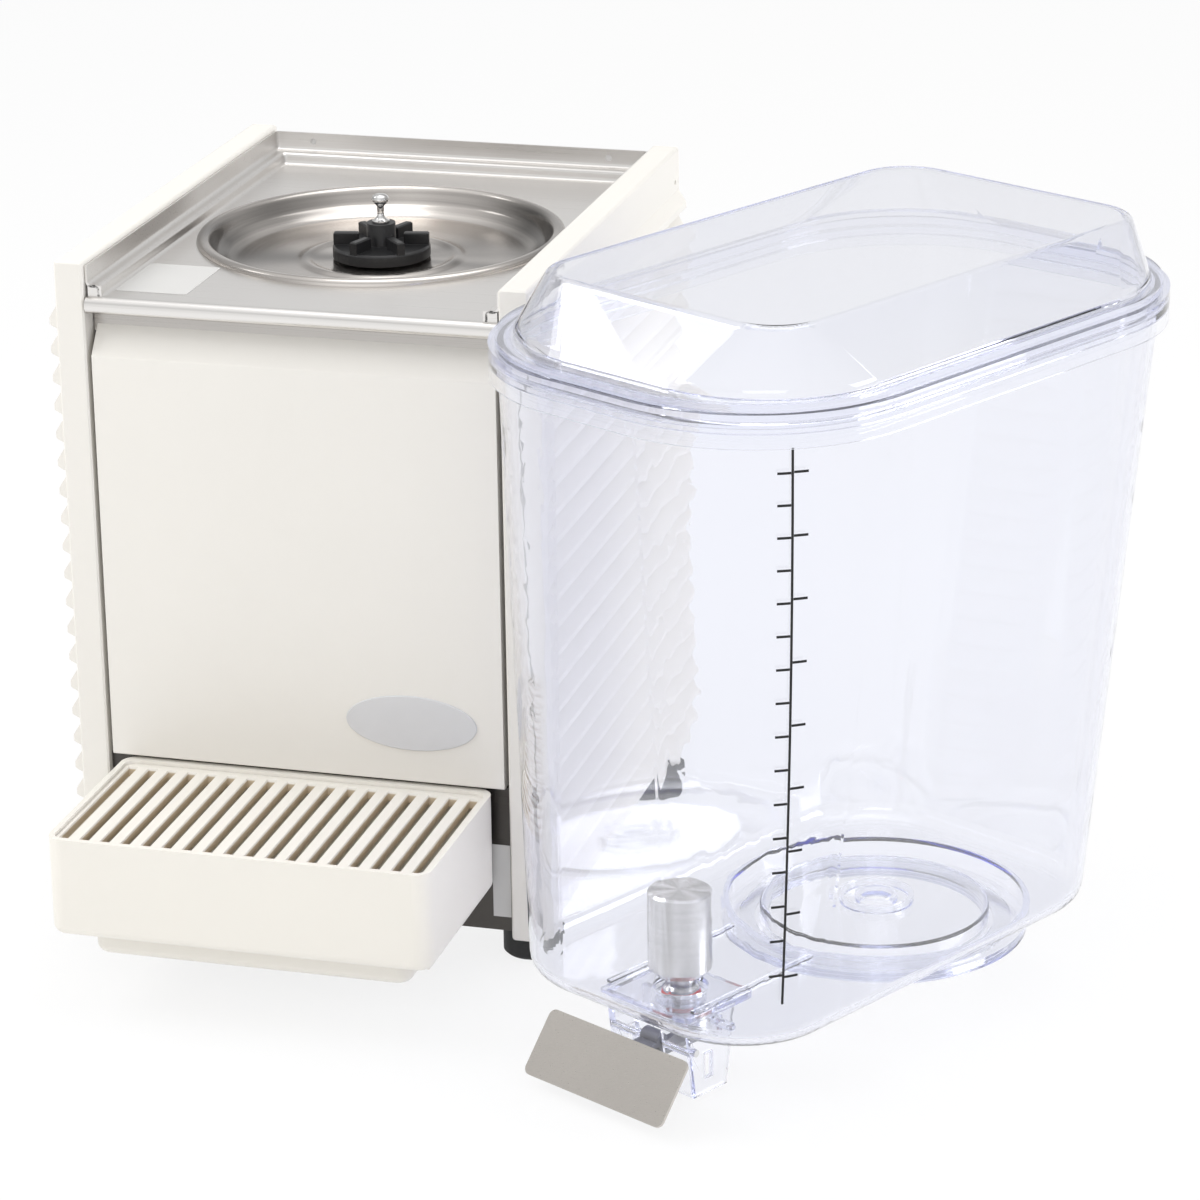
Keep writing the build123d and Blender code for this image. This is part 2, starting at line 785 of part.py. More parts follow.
hub_back = shroud_front - 3
hub_front = hub_back - fan_hub_length
fan = along_y(fan_hub_radius, hub_front, hub_back, 0, fan_z)
for i in range(blade_count):
    blade = block(fan_hub_radius - 2, fan_radius, -blade_thickness / 2, blade_thickness / 2, -13, 13)
    blade = Rot(blade_turn, 0, 0) * blade
    blade = Rot(0, 360 / blade_count * i, 0) * blade
    fan += Pos(0, (hub_front + hub_back) / 2, fan_z) * blade
fan &= along_y(fan_radius, hub_front - 10, hub_back + 2.4, 0, fan_z)
fan_motor_back = hub_front - 8
fan += along_y(fan_shaft_radius, fan_motor_back - 12, hub_front, 0, fan_z)
nodes["fan_blade"] = fan

fan_motor_front = fan_motor_back - fan_motor_length
fan_motor = along_y(fan_motor_radius, fan_motor_front, fan_motor_back, 0, fan_z)
fan_motor -= along_y(fan_shaft_radius + running_fit, fan_motor_back - 13, fan_motor_back + 1, 0, fan_z)
nodes["fan_motor"] = fan_motor

fan_post_x = fan_motor_radius + 6
fan_bracket = block(
    -fan_post_x - 8, fan_post_x + 8, fan_motor_front - sheet, fan_motor_front,
    fan_z - 10, fan_z + 10,
)
for side in (-1, 1):
    fan_bracket += block(
        side * (fan_post_x + 8), side * (fan_post_x + 8 + sheet), fan_motor_front - sheet,
        fan_motor_front + 16, pan_floor, fan_z + 10,
    )
    fan_bracket += block(
        side * (fan_post_x + 8), side * (fan_post_x + 22), fan_motor_front - sheet,
        fan_motor_front + 16, pan_floor, pan_floor + sheet,
    )
nodes["fan_bracket"] = fan_bracket

# Pipework
drier_x = -pan_half + drier_inset
drier = along_y(drier_radius, drier_y, drier_y + drier_length, drier_x, drier_z)
drier = chamfer(drier.edges().filter_by(GeomType.CIRCLE), 3)
nodes["filter_drier"] = drier

suction_turn_x = 24.0
nodes["suction_line"] = pipe(
    [
        (suction_x, suction_y, suction_z + fit_gap), (suction_x, suction_y, suction_z + 40),
        (suction_turn_x, coil_end_y, suction_z + 80), (suction_turn_x, coil_end_y, coil_z),
        (fit_gap, coil_end_y, coil_z),
    ],
    pipe_radius,
)
side_run_x = pan_half - 9
tube_end_x = end_x + 2 + fit_gap
nodes["discharge_line"] = pipe(
    [
        (discharge_x + fit_gap, discharge_y, discharge_z), (side_run_x, discharge_y, discharge_z),
        (side_run_x, discharge_y + 54, discharge_z + 33), (side_run_x, tube_y, row_z[-1]),
        (tube_end_x, tube_y, row_z[-1]),
    ],
    thin_pipe_radius * 1.6,
)
nodes["liquid_line"] = pipe(
    [
        (-tube_end_x, tube_y, row_z[0]), (-side_run_x, tube_y, row_z[0]),
        (-side_run_x, tube_y - 40, row_z[0] + 6), (drier_x, tube_y - 46, drier_z),
        (drier_x, drier_y + drier_length + fit_gap, drier_z),
    ],
    thin_pipe_radius * 1.6,
)
nodes["capillary_tube"] = pipe(
    [
        (drier_x, drier_y - fit_gap, drier_z), (drier_x, drier_y - 20, drier_z),
        (drier_x + 4, drier_y - 24, drier_z + 80), (-60, coil_start_y - 5, foam_low - 34),
        (capillary_down_x, coil_start_y, foam_low - 6), (capillary_down_x, coil_start_y, coil_z),
        (-fit_gap, coil_start_y, coil_z),
    ],
    thin_pipe_radius,
)

# Control box, thermostat, switch and cable inlet on the rear panel
box_right = box_left + box_width
box_front = rear_y - box_depth
control = block(box_left, box_right, box_front, rear_y, box_bottom, box_bottom + box_height)
control -= block(
    box_left + sheet, box_right - sheet, box_front + sheet, rear_y + 1,
    box_bottom + sheet, box_bottom + box_height - sheet,
)
nodes["control_box"] = control

half = thermostat_size / 2
thermostat = block(
    thermostat_x - half, thermostat_x + half, rear_y - thermostat_depth, rear_y,
    thermostat_z - half, thermostat_z + half,
)
thermostat -= along_y(knob_stem_radius + running_fit, rear_y - 18, rear_y + 1, thermostat_x, thermostat_z)
nodes["thermostat"] = thermostat

knob_low = rear_y + sheet + fit_gap
knob = along_y(knob_radius, knob_low, knob_low + knob_height, thermostat_x, thermostat_z)
knob = chamfer(knob.faces().sort_by(Axis.Y)[-1].edges(), 1.4)
for i in range(12):
    flute = along_y(1.6, knob_low + 2, knob_low + knob_height + 1, 0, knob_radius + 0.6)
    knob -= Pos(thermostat_x, 0, thermostat_z) * Rot(0, 30 * i, 0) * flute
knob += along_y(knob_stem_radius, rear_y - 16, knob_low, thermostat_x, thermostat_z)
nodes["thermostat_knob"] = knob

outer_w = rocker_width / 2 + switch_frame
outer_h = rocker_height / 2 + switch_frame
rear_face = rear_y + sheet
housing = block(
    switch_x - outer_w, switch_x + outer_w, rear_face, rear_face + 1.6, switch_z - outer_h, switch_z + outer_h
)
housing += block(
    switch_x - outer_w + switch_frame / 2, switch_x + outer_w - switch_frame / 2, rear_y - switch_depth,
    rear_face, switch_z - outer_h + switch_frame / 2, switch_z + outer_h - switch_frame / 2,
)
housing -= block(
    switch_x - rocker_width / 2 - fit_gap, switch_x + rocker_width / 2 + fit_gap, rear_face - 9,
    rear_face + 3, switch_z - rocker_height / 2 - fit_gap, switch_z + rocker_height / 2 + fit_gap,
)
rocker_pivot_y = rear_face - 2.5
pivot_reach = rocker_width / 2 + rocker_pivot_grip
housing -= along_x(
    rocker_pivot_radius + running_fit, switch_x - pivot_reach - running_fit,
    switch_x + pivot_reach + running_fit, rocker_pivot_y, switch_z,
)
nodes["switch_housing"] = housing

rocker_tilt = 9.0
rocker_reach = rocker_height / 2 - 0.6
rocker_points = [
    (rocker_pivot_y - 3, switch_z - 5), (rocker_pivot_y + 1.5, switch_z - rocker_reach),
    (rocker_pivot_y + rocker_proud + 1.6, switch_z - rocker_reach + 0.4), (rocker_pivot_y + 3.2, switch_z),
    (rocker_pivot_y + rocker_proud + 1.6, switch_z + rocker_reach - 0.4),
    (rocker_pivot_y + 1.5, switch_z + rocker_reach), (rocker_pivot_y - 3, switch_z + 5),
]
rocker = across(rocker_points, switch_x - rocker_width / 2, switch_x + rocker_width / 2)
rocker += along_x(
    rocker_pivot_radius, switch_x - pivot_reach, switch_x + pivot_reach, rocker_pivot_y, switch_z
)
rocker_axis = (switch_x, rocker_pivot_y, switch_z)
nodes["power_rocker"] = Pos(*rocker_axis) * Rot(rocker_tilt, 0, 0) * Pos(*[-v for v in rocker_axis]) * rocker

gland = along_y(gland_radius, rear_y - 6, rear_face, gland_x, gland_z)
gland += along_y(gland_radius + 3, rear_face, rear_face + 4, gland_x, gland_z)
gland += along_y(gland_radius - 1, rear_face + 4, rear_face + gland_length - 4, gland_x, gland_z)
gland -= along_y(gland_bore_radius, rear_y - 7, rear_face + gland_length, gland_x, gland_z)
nodes["cable_gland"] = gland

# Badge and labels, bare
badge = Plane.XZ * (Pos(badge_x, badge_z) * Ellipse(badge_width / 2, badge_height / 2))
badge = Pos(0, front_setback, 0) * extrude(badge, badge_thickness)
nodes["badge_plate"] = chamfer(badge.faces().sort_by(Axis.Y)[0].edges(), 0.4)
lw, ld = deck_label_size
lx, ly = deck_label_at
nodes["deck_label"] = slab(lw, ld, 1.5, deck_top, deck_top + label_thickness, lx, ly)
dw, dh = data_label_size
dx, dz = data_label_at
nodes["data_label"] = block(
    dx - dw / 2, dx + dw / 2, plate_y - label_thickness, plate_y, dz - dh / 2, dz + dh / 2
)

# Drip tray
tray_half = tray_width / 2
tray_back = plate_y - tray_back_gap
tray_depth = tray_back - tray_front
tray_mid = (tray_back + tray_front) / 2
tub_width = tray_width - 2 * tray_tub_inset
tub_depth = tray_depth - 1.5 * tray_tub_inset
tub_mid = tray_back - tub_depth / 2 - tray_tub_inset * 0.5
tray = slab(tray_width, tray_depth, tray_corner, tray_break, tray_top, 0, tray_mid)
tray = fillet(tray.faces().sort_by(Axis.Z)[0].edges(), 5)
tub = slab(tub_width, tub_depth, tray_corner, tray_bottom, tray_break + 8, 0, tub_mid)
tub = fillet(tub.faces().sort_by(Axis.Z)[0].edges(), 5)
tray += tub
grille_top = tray_top - grille_drop
grille_low = grille_top - grille_thickness
recess_depth = tray_depth - tray_wall - tray_back_wall
recess_mid = tray_front + tray_wall + recess_depth / 2
tray -= slab(
    tray_width - 2 * tray_wall, recess_depth, tray_corner - tray_wall, grille_low, tray_top + 1, 0, recess_mid
)
tray -= slab(
    tray_width - 2 * (tray_wall + grille_ledge), recess_depth - 2 * grille_ledge,
    tray_corner - tray_wall, tray_break + tray_wall, tray_top + 1, 0, recess_mid,
)
tray -= slab(
    tub_width - 2 * tray_wall, tub_depth - 2 * tray_wall, tray_corner - tray_wall,
    tray_bottom + tray_wall, tray_break + 20, 0, tub_mid,
)
nodes["drip_tray"] = tray

grille_width = tray_width - 2 * tray_wall - 2 * fit_gap
grille_depth = recess_depth - 2 * fit_gap
grille = slab(
    grille_width, grille_depth, tray_corner - tray_wall - fit_gap, grille_low, grille_top, 0, recess_mid
)
for i in range(slot_count):
    slot_x = (i - (slot_count - 1) / 2) * slot_pitch
    grille -= slab(
        slot_width, grille_depth - 2 * slot_margin, slot_width * 0.49, grille_low - 1, grille_top + 1,
        slot_x, recess_mid,
    )
nodes["drip_grille"] = grille

rail_x = tray_half - (tray_tub_inset - rail_width) / 2
rail_top = tray_break - fit_gap
rail = block(
    rail_x - rail_width, rail_x, tray_front + rail_front_gap, plate_y, rail_top - rail_height, rail_top
)
nodes["tray_rails"] = group([rail, mirror(rail, Plane.YZ)])

# Bowl: a drafted shell with a round boss below and a flanged rim
wall_width = rim_width - 2 * rim_overhang
wall_depth = rim_depth - 2 * rim_overhang
wall_corner = rim_corner - rim_overhang
wall_top = rim_low + rim_band


def drafted(inset, z0, z1):
    """The bowl's drafted body between two heights, drawn in by inset all round."""

    def section(z):
        share = (z - bowl_floor) / (wall_top - bowl_floor)
        width = floor_width + (wall_width - floor_width) * share
        depth = floor_depth + (wall_depth - floor_depth) * share
        corner = floor_corner + (wall_corner - floor_corner) * share
        shift = floor_shift + (rim_shift - floor_shift) * share
        return Pos(0, shift, z) * RectangleRounded(width - 2 * inset, depth - 2 * inset, corner - inset)

    return loft([section(z0), section(z1)], ruled=True)


def rim_slab(inset, z0, z1):
    """A plate with the rim's outline, drawn in by inset."""
    return slab(rim_width - 2 * inset, rim_depth - 2 * inset, rim_corner - inset, z0, z1, 0, rim_shift)


outer_body = drafted(0, bowl_floor, wall_top)
outer_body = fillet(outer_body.faces().sort_by(Axis.Z)[0].edges(), floor_round)
cavity = drafted(bowl_wall, bowl_floor + bowl_wall, wall_top + 0.01)
cavity = fillet(cavity.faces().sort_by(Axis.Z)[0].edges(), floor_round - bowl_wall)
bowl = outer_body
bowl += upright(boss_radius, 0, bowl_floor + floor_round, 0, boss_y)
skirt_low = rim_low - skirt_height
bowl += rim_slab(0, skirt_low, wall_top) - rim_slab(rim_lip, skirt_low, rim_low)
bowl -= cavity
bowl -= upright(boss_radius - bowl_wall, boss_plate, bowl_floor + bowl_wall + 1, 0, boss_y)
bowl -= upright(boss_opening, -1, boss_plate + 1, 0, boss_y)
for side in (-1, 1):
    bowl += block(
        side * ridge_x, side * (ridge_x + ridge_width), ridge_front, ridge_back, bowl_floor + 1,
        bowl_floor + bowl_wall + ridge_rise,
    )
seal_groove = upright(seal_outer, -1, seal_thickness, 0, boss_y) - upright(seal_inner, -2, 3, 0, boss_y)
bowl -= seal_groove
bowl -= upright(seal_bore_radius, bowl_floor - 1, bowl_floor + bowl_wall + 1, 0, valve_y)
bowl -= upright(seal_bore_radius + 4, seal_step_z, bowl_floor + bowl_wall + 1, 0, valve_y)

seal = upright(seal_outer - fit_gap, 0, seal_thickness, 0, boss_y)
seal -= upright(seal_inner + fit_gap, -1, seal_thickness + 1, 0, boss_y)

# Clear cover in the boss
cover = upright(cover_radius, boss_plate, cover_top, 0, boss_y)
cover = fillet(cover.faces().sort_by(Axis.Z)[-1].edges(), 1.6)
cover -= upright(cover_radius - cover_wall, boss_plate - 1, cover_top - cover_wall, 0, boss_y)
cover += upright(cover_hub_radius, cover_top - cover_wall, cover_top + cover_hub_rise, 0, boss_y)
cover -= upright(cover_hub_radius - cover_wall, cover_top, cover_top + cover_hub_rise + 1, 0, boss_y)
cover += upright(cover_eye_radius + cover_wall, cover_top - cover_wall, cover_top + cover_hub_rise, 0, boss_y)
cover -= upright(cover_eye_radius, 0, cover_top + cover_hub_rise + 1, 0, boss_y)

# Lid: a stepped flange and a sloped hood
flange_top = wall_top + lid_flange
step_top = flange_top + lid_step


def hood(inset, z0, z1, top_inset):
    """The lid's hood, drawn in by inset."""
    low = Pos(0, hood_shift, z0) * RectangleRounded(
        hood_width - 2 * inset, hood_depth - 2 * inset, hood_corner - inset
    )
    high = Pos(0, lid_top_shift, z1) * RectangleRounded(
        lid_top_width - 2 * top_inset, lid_top_depth - 2 * top_inset, lid_top_corner - top_inset
    )
    return loft([low, high], ruled=True)


lid = hood(0, step_top, lid_top_z, 0)
lid = fillet(lid.faces().sort_by(Axis.Z)[-1].edges(), lid_round)
lid += rim_slab(0, wall_top, flange_top)
lid += rim_slab(lid_step_inset, flange_top, step_top)
lid_cavity = hood(lid_wall, step_top, lid_top_z - lid_wall, lid_wall)
lid_cavity = fillet(lid_cavity.faces().sort_by(Axis.Z)[-1].edges(), lid_round - lid_wall / 2)
lid -= lid_cavity
lid -= slab(
    hood_width - 2 * lid_wall, hood_depth - 2 * lid_wall, hood_corner - lid_wall,
    wall_top + lid_wall, step_top, 0, hood_shift,
)
spigot_inset = bowl_wall + 3 * fit_gap
spigot_size = (wall_width - 2 * spigot_inset, wall_depth - 2 * spigot_inset, wall_corner - spigot_inset)
spigot_hole = tuple(v - lid_wall * n for v, n in zip(spigot_size, (2, 2, 1)))
lid += slab(*spigot_size, wall_top - lid_spigot, wall_top, 0, rim_shift)
lid -= slab(*spigot_hole, wall_top - lid_spigot - 1, wall_top + lid_wall, 0, rim_shift)

# Scale: a line with ticks each side on the bowl's drafted corner; the ticks close up as the bowl widens


def corner_frame(z):
    """Centre and radius of the bowl's front right corner at a height."""
    share = (z - bowl_floor) / (wall_top - bowl_floor)
    width = floor_width + (wall_width - floor_width) * share
    depth = floor_depth + (wall_depth - floor_depth) * share
    corner = floor_corner + (wall_corner - floor_corner) * share
    shift = floor_shift + (rim_shift - floor_shift) * share
    return width / 2 - corner, shift - depth / 2 + corner, corner


def printed_band(z, start, length):
    """A flat band on the corner, from start to start + length in millimetres of arc."""
    cx, cy, corner = corner_frame(z)
    inner = corner + print_gap
    outer = inner + scale_thickness
    rise = (z - scale_bottom) / (scale_top - scale_bottom)
    middle = -scale_angle_low - (scale_angle_high - scale_angle_low) * rise
    first = middle + start / corner * 180 / pi
    sweep_angle = length / corner * 180 / pi
    last = radians(first + sweep_angle)
    first_rad = radians(first)
    near = CenterArc((cx, cy), inner, first, sweep_angle)
    far = CenterArc((cx, cy), outer, first, sweep_angle)
    ends = [
        Line((cx + inner * cos(a), cy + inner * sin(a)), (cx + outer * cos(a), cy + outer * sin(a)))
        for a in (first_rad, last)
    ]
    return Pos(0, 0, z) * make_face([near, far, *ends])


def tick(z, start, length):
    """One graduation."""
    return extrude(printed_band(z - scale_line / 2, start, length), scale_line, dir=(0, 0, 1))


half_line = scale_line / 2
line_rise = (scale_top - scale_bottom) / scale_pieces
line_bands = [
    printed_band(scale_bottom + i * line_rise, -half_line, scale_line) for i in range(scale_pieces + 1)
]
scale = loft(line_bands, ruled=True)
tick_start = half_line + print_gap
ticks = []
for i in range(litre_ticks):
    tick_z = first_litre + i * litre_pitch - i * i * litre_shrink
    ticks.append(tick(tick_z, -tick_left - tick_start, tick_left))
for i in range(half_gallon_ticks):
    tick_z = first_half_gallon + i * half_gallon_pitch - i * i * half_gallon_shrink
    ticks.append(tick(tick_z, tick_start, tick_right))

# Valve body under the bowl's floor: a flange, a front wall and two side plates, open behind and below
flange_low = bowl_floor - flange_thickness
valve = block(-flange_half, flange_half, flange_front, flange_back, flange_low, bowl_floor)
valve = fillet(valve.edges().filter_by(Axis.Z), 2)
valve += across(
    [
        (valve_front, flange_low), (valve_low_front, valve_low), (valve_low_back, valve_low),
        (valve_back, flange_low),
    ],
    -valve_half, valve_half,
)
inner_x = valve_half - valve_wall
valve -= across(
    [
        (valve_front + valve_wall, flange_low), (valve_low_front + valve_wall, valve_low - 1),
        (valve_back + 1, valve_low - 1), (valve_back + 1, flange_low),
    ],
    -inner_x, inner_x,
)
valve += upright(seal_bore_radius + valve_wall, guide_top, flange_low + 1, 0, valve_y)
valve += upright(guide_radius, guide_bottom, guide_top + 1, 0, valve_y)
web_half = 2.0
valve += block(-inner_x, inner_x, valve_y - web_half, valve_y + web_half, guide_bottom, guide_top + 1)
valve -= upright(seal_bore_radius, guide_top, bowl_floor + 1, 0, valve_y)
valve -= upright(guide_bore_radius, guide_bottom - 1, guide_top + 1, 0, valve_y)
lever_window = lever_half + 3
valve -= block(
    -lever_window, lever_window, valve_front - 1, valve_low_front + valve_wall + 1,
    lever_window_low, guide_top,
)
valve -= block(-valve_half - 1, valve_half + 1, *side_window_y, *side_window_z)
valve -= along_x(pivot_radius + running_fit, -valve_half - 1, valve_half + 1, pivot_y, pivot_z)
lock_z = flange_low - lock_radius - 1
valve -= along_x(lock_radius + running_fit, inner_x - 1, valve_half + 1, lock_y, lock_z)
lock_pin = along_x(lock_radius, inner_x, valve_half + lock_length, lock_y, lock_z)
lock_pin = chamfer(lock_pin.faces().sort_by(Axis.X)[-1].edges(), 1)
pivot_pin = along_x(pivot_radius, -valve_half - 1.5, valve_half + 1.5, pivot_y, pivot_z)

# Plunger: weight, stem and seal rings
weight = upright(weight_radius, weight_bottom, weight_top, 0, valve_y)
weight = chamfer(weight.faces().sort_by(Axis.Z)[-1].edges(), weight_edge)
weight = chamfer(weight.faces().sort_by(Axis.Z)[0].edges(), weight_shoulder)
spigot_radius = stem_radius * 0.8
weight -= upright(spigot_radius + running_fit, weight_bottom - 1, weight_bottom + 12, 0, valve_y)
half_ring = ring_thickness / 2 + 0.1
half_low = low_ring_thickness / 2 + 0.1
ring_groove = ring_outer_radius - ring_thickness - 0.1
low_groove = low_ring_radius - low_ring_thickness - 0.1
flange_radius = seal_bore_radius - 1
low_flange = guide_bore_radius - 0.8
stem = spun(
    [
        (0, weight_bottom + 12), (spigot_radius, weight_bottom + 12), (spigot_radius, weight_bottom),
        (neck_radius, weight_bottom), (neck_radius, ring_z + half_ring + 3),
        (flange_radius, ring_z + half_ring + 1.6), (flange_radius, ring_z + half_ring),
        (ring_groove, ring_z + half_ring), (ring_groove, ring_z - half_ring),
        (flange_radius, ring_z - half_ring), (flange_radius, ring_z - half_ring - 1.6),
        (stem_radius, ring_z - half_ring - 4), (stem_radius, low_ring_z + half_low + 2),
        (low_flange, low_ring_z + half_low + 1), (low_flange, low_ring_z + half_low),
        (low_groove, low_ring_z + half_low), (low_groove, low_ring_z - half_low),
        (low_flange, low_ring_z - half_low), (low_flange, low_ring_z - half_low - 1),
        (stem_radius, low_ring_z - half_low - 2), (stem_radius, stem_bottom + stem_point),
        (stem_tip, stem_bottom), (0, stem_bottom),
    ],
    0, valve_y,
)


def seal_ring(outer, thickness, z):
    """A round rubber ring about the plunger."""
    section = Plane.XZ * (Pos(outer - thickness / 2, z) * Circle(thickness / 2))
    return Pos(0, valve_y, 0) * revolve(section, Axis.Z)


rings = [
    seal_ring(ring_outer_radius, ring_thickness, ring_z),
    seal_ring(low_ring_radius, low_ring_thickness, low_ring_z),
]

# Push handle: a lever on the pivot pin, with a plate on its front end
lean = radians(plate_lean)
plate_mid = (
    plate_top_y - plate_length / 2 * sin(lean), plate_top_z - plate_length / 2 * cos(lean)
)
plate_place = Pos(0, *plate_mid) * Rot(-plate_lean, 0, 0)
plate = Box(plate_width, plate_thickness, plate_length)
plate = fillet(plate.edges().filter_by(Axis.Y), plate_corner)
plate = plate_place * plate
behind = plate_thickness / 2
arm_top = stem_bottom - fit_gap
lever = along_x(pivot_radius + lever_thickness, -lever_half, lever_half, pivot_y, pivot_z)
lever += block(-lever_half, lever_half, pivot_y - 2, lever_tip, arm_top - lever_thickness, arm_top)
lever += block(-lever_half, lever_half, pivot_y - 2, pivot_y + 2, arm_top - lever_thickness, pivot_z)
lever += block(
    -lever_half, lever_half, plate_mid[0], pivot_y, pivot_z - lever_thickness, pivot_z
)
tab = block(
    -plate_width * 0.14, plate_width * 0.14, behind, behind + lever_thickness,
    -plate_length * 0.3, plate_length * 0.3,
)
lever += plate_place * tab
lever -= plate_place * block(
    -plate_width, plate_width, behind - 40, behind, -plate_length, plate_length
)
lever -= along_x(pivot_radius + running_fit, -lever_half - 1, lever_half + 1, pivot_y, pivot_z)

# Set the bowl and what goes with it beside the cabinet
stand = Pos(bowl_x, bowl_y, bowl_stand) * Rot(0, 0, bowl_turn)
nodes["bowl_shell"] = stand * bowl
nodes["bowl_seal"] = stand * seal
nodes["impeller_cover"] = stand * cover
nodes["bowl_lid"] = stand * lid
nodes["level_scale"] = group([stand * mark for mark in [scale, *ticks]])
nodes["valve_body"] = stand * valve
nodes["valve_lock_pin"] = stand * lock_pin
nodes["handle_pivot_pin"] = stand * pivot_pin
nodes["plunger_weight"] = stand * weight
nodes["plunger_stem"] = stand * stem
nodes["plunger_seal_rings"] = group([stand * ring for ring in rings])
nodes["push_lever"] = stand * lever
nodes["push_plate"] = stand * plate

# Screws that hold the rear panel to the pan and the deck, and the pan to the side panels
rear_screw_places = [
    (sx * (pan_half - 24), z) for sx in (-1, 1) for z in (pan_bottom + pan_wall - 8, deck_wall_top - 5)
]
shank = along_y(screw_radius, rear_face - rear_screw_length, rear_face)
head = along_y(screw_head_radius, rear_face, rear_face + screw_head_height)
head = chamfer(head.faces().sort_by(Axis.Y)[-1].edges(), 0.8)
cross_slot = block(-2.2, 2.2, rear_face + 1, rear_face + 4, -0.4, 0.4)
cross_slot += block(-0.4, 0.4, rear_face + 1, rear_face + 4, -2.2, 2.2)
rear_screw = (head + shank) - cross_slot
for x, z in rear_screw_places:
    for name in ("rear_panel", "base_pan", "top_deck"):
        nodes[name] = nodes[name] - Pos(x, 0, z) * shank
nodes["rear_screws"] = group([Pos(x, 0, z) * rear_screw for x, z in rear_screw_places])

side_screws = []
side_screw_z = pan_bottom + pan_wall / 2
for side in (-1, 1):
    for y in (foot_inset_y + 30, cabinet_depth - foot_inset_y * 1.6):
        head_face = side * (pan_half - sheet)
        side_shank = along_x(
            screw_radius, *sorted((head_face, side * (inner_half + screw_length))), y, side_screw_z
        )
        side_head = along_x(
            screw_head_radius, *sorted((head_face - side * screw_head_height, head_face)), y, side_screw_z
        )
        side_screws.append(side_head + side_shank)
        panel = "right_side_panel" if side > 0 else "left_side_panel"
        nodes[panel] = nodes[panel] - side_shank
        nodes["base_pan"] = nodes["base_pan"] - side_shank
nodes["side_screws"] = group(side_screws)

# The origin is under the middle of the whole set, on the surface that it stands on
whole = Compound(children=[s for node in nodes.values() for s in node.solids()]).bounding_box()
origin = Pos(-(whole.min.X + whole.max.X) / 2, -(whole.min.Y + whole.max.Y) / 2, -whole.min.Z)

if __name__ == "__main__":
    os.makedirs("parts", exist_ok=True)
    for name, shape in nodes.items():
        export_step(Compound(children=shape.solids()).moved(origin), f"parts/{name}.step")
    print("nodes", len(nodes), "box", whole.size, "moved by", origin.position)
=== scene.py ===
import math

import bmesh
import bpy
from bpy.props import FloatProperty, FloatVectorProperty, IntProperty, PointerProperty
from mathutils import Matrix, Vector


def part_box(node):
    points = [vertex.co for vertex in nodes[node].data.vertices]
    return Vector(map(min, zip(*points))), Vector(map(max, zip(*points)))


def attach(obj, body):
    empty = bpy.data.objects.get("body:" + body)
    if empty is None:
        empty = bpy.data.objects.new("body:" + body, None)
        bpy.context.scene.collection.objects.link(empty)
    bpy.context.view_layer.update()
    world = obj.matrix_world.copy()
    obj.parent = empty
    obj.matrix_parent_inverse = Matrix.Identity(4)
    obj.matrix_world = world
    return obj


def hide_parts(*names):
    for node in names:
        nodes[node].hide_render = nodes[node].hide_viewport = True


bl_info = {
    "name": "Drink dispenser",
    "version": (1, 0, 0),
    "blender": (4, 5, 0),
    "location": "View3D > Sidebar > Dispenser",
    "description": "Finishes, pieces and studio of a refrigerated drink dispenser with its bowl taken off",
    "category": "Object",
}

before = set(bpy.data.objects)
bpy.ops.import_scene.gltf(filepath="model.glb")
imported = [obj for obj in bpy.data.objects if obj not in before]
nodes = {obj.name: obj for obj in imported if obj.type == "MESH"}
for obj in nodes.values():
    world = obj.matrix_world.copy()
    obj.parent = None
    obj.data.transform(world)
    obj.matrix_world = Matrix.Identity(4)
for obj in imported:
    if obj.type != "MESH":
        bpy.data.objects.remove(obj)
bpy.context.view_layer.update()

MM = 0.001

# Places nearer than this count as one
HAIR = 0.1 * MM

# Edges that turn by more than this are rounded
SHARP = math.radians(35)

# Places on the cabinet and the bowl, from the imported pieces
PANEL_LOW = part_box("left_side_panel")[0]
CABINET_X = (PANEL_LOW.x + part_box("right_side_panel")[1].x) / 2
FRONT_Y = PANEL_LOW.y
DISH_LOW, DISH_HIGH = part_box("evaporator_dish")
DISH = (DISH_LOW + DISH_HIGH) / 2
DISH_RIM = (DISH_HIGH.x - DISH_LOW.x) / 2
WEIGHT_LOW, WEIGHT_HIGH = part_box("plunger_weight")
WEIGHT = (WEIGHT_LOW + WEIGHT_HIGH) / 2
BOWL_TURN = math.radians(-28.1)

# Softness of the impeller's edges
IMPELLER_EDGE = 0.5 * MM

# Fine brushing along x: how much the noise is squeezed along each axis
BRUSHED_ALONG_X = (6, 1500, 1500)
PLATE_BRUSHING = (8, 1500, 1500)

# The dish's rolled rim: millimetres in from its outside and down from its top
DISH_ROLL = [(0.4, 1.2), (2.2, 0.0), (5.0, 0.0), (7.0, 0.8), (8.4, 4.0)]

# The dish's wall: millimetres in from the rim's outside and up from the dish's floor
DISH_WALL = [(9.6, 8.0), (11.0, 5.6), (13.0, 4.6), (15.5, 3.2), (19.0, 0.6), (24.0, 0.0)]

# Where the rim's outside ends below: millimetres up from the dish's floor
DISH_SKIRT = 12.0

# The floor and its bead round the impeller: radius and height above the floor in millimetres
DISH_BEAD = [
    (50.0, 0.0), (46.5, 0.0), (44.0, 1.3), (42.0, 1.6), (40.0, 1.3), (37.5, 0.0), (30.0, 0.0), (7.0, 0.0),
]

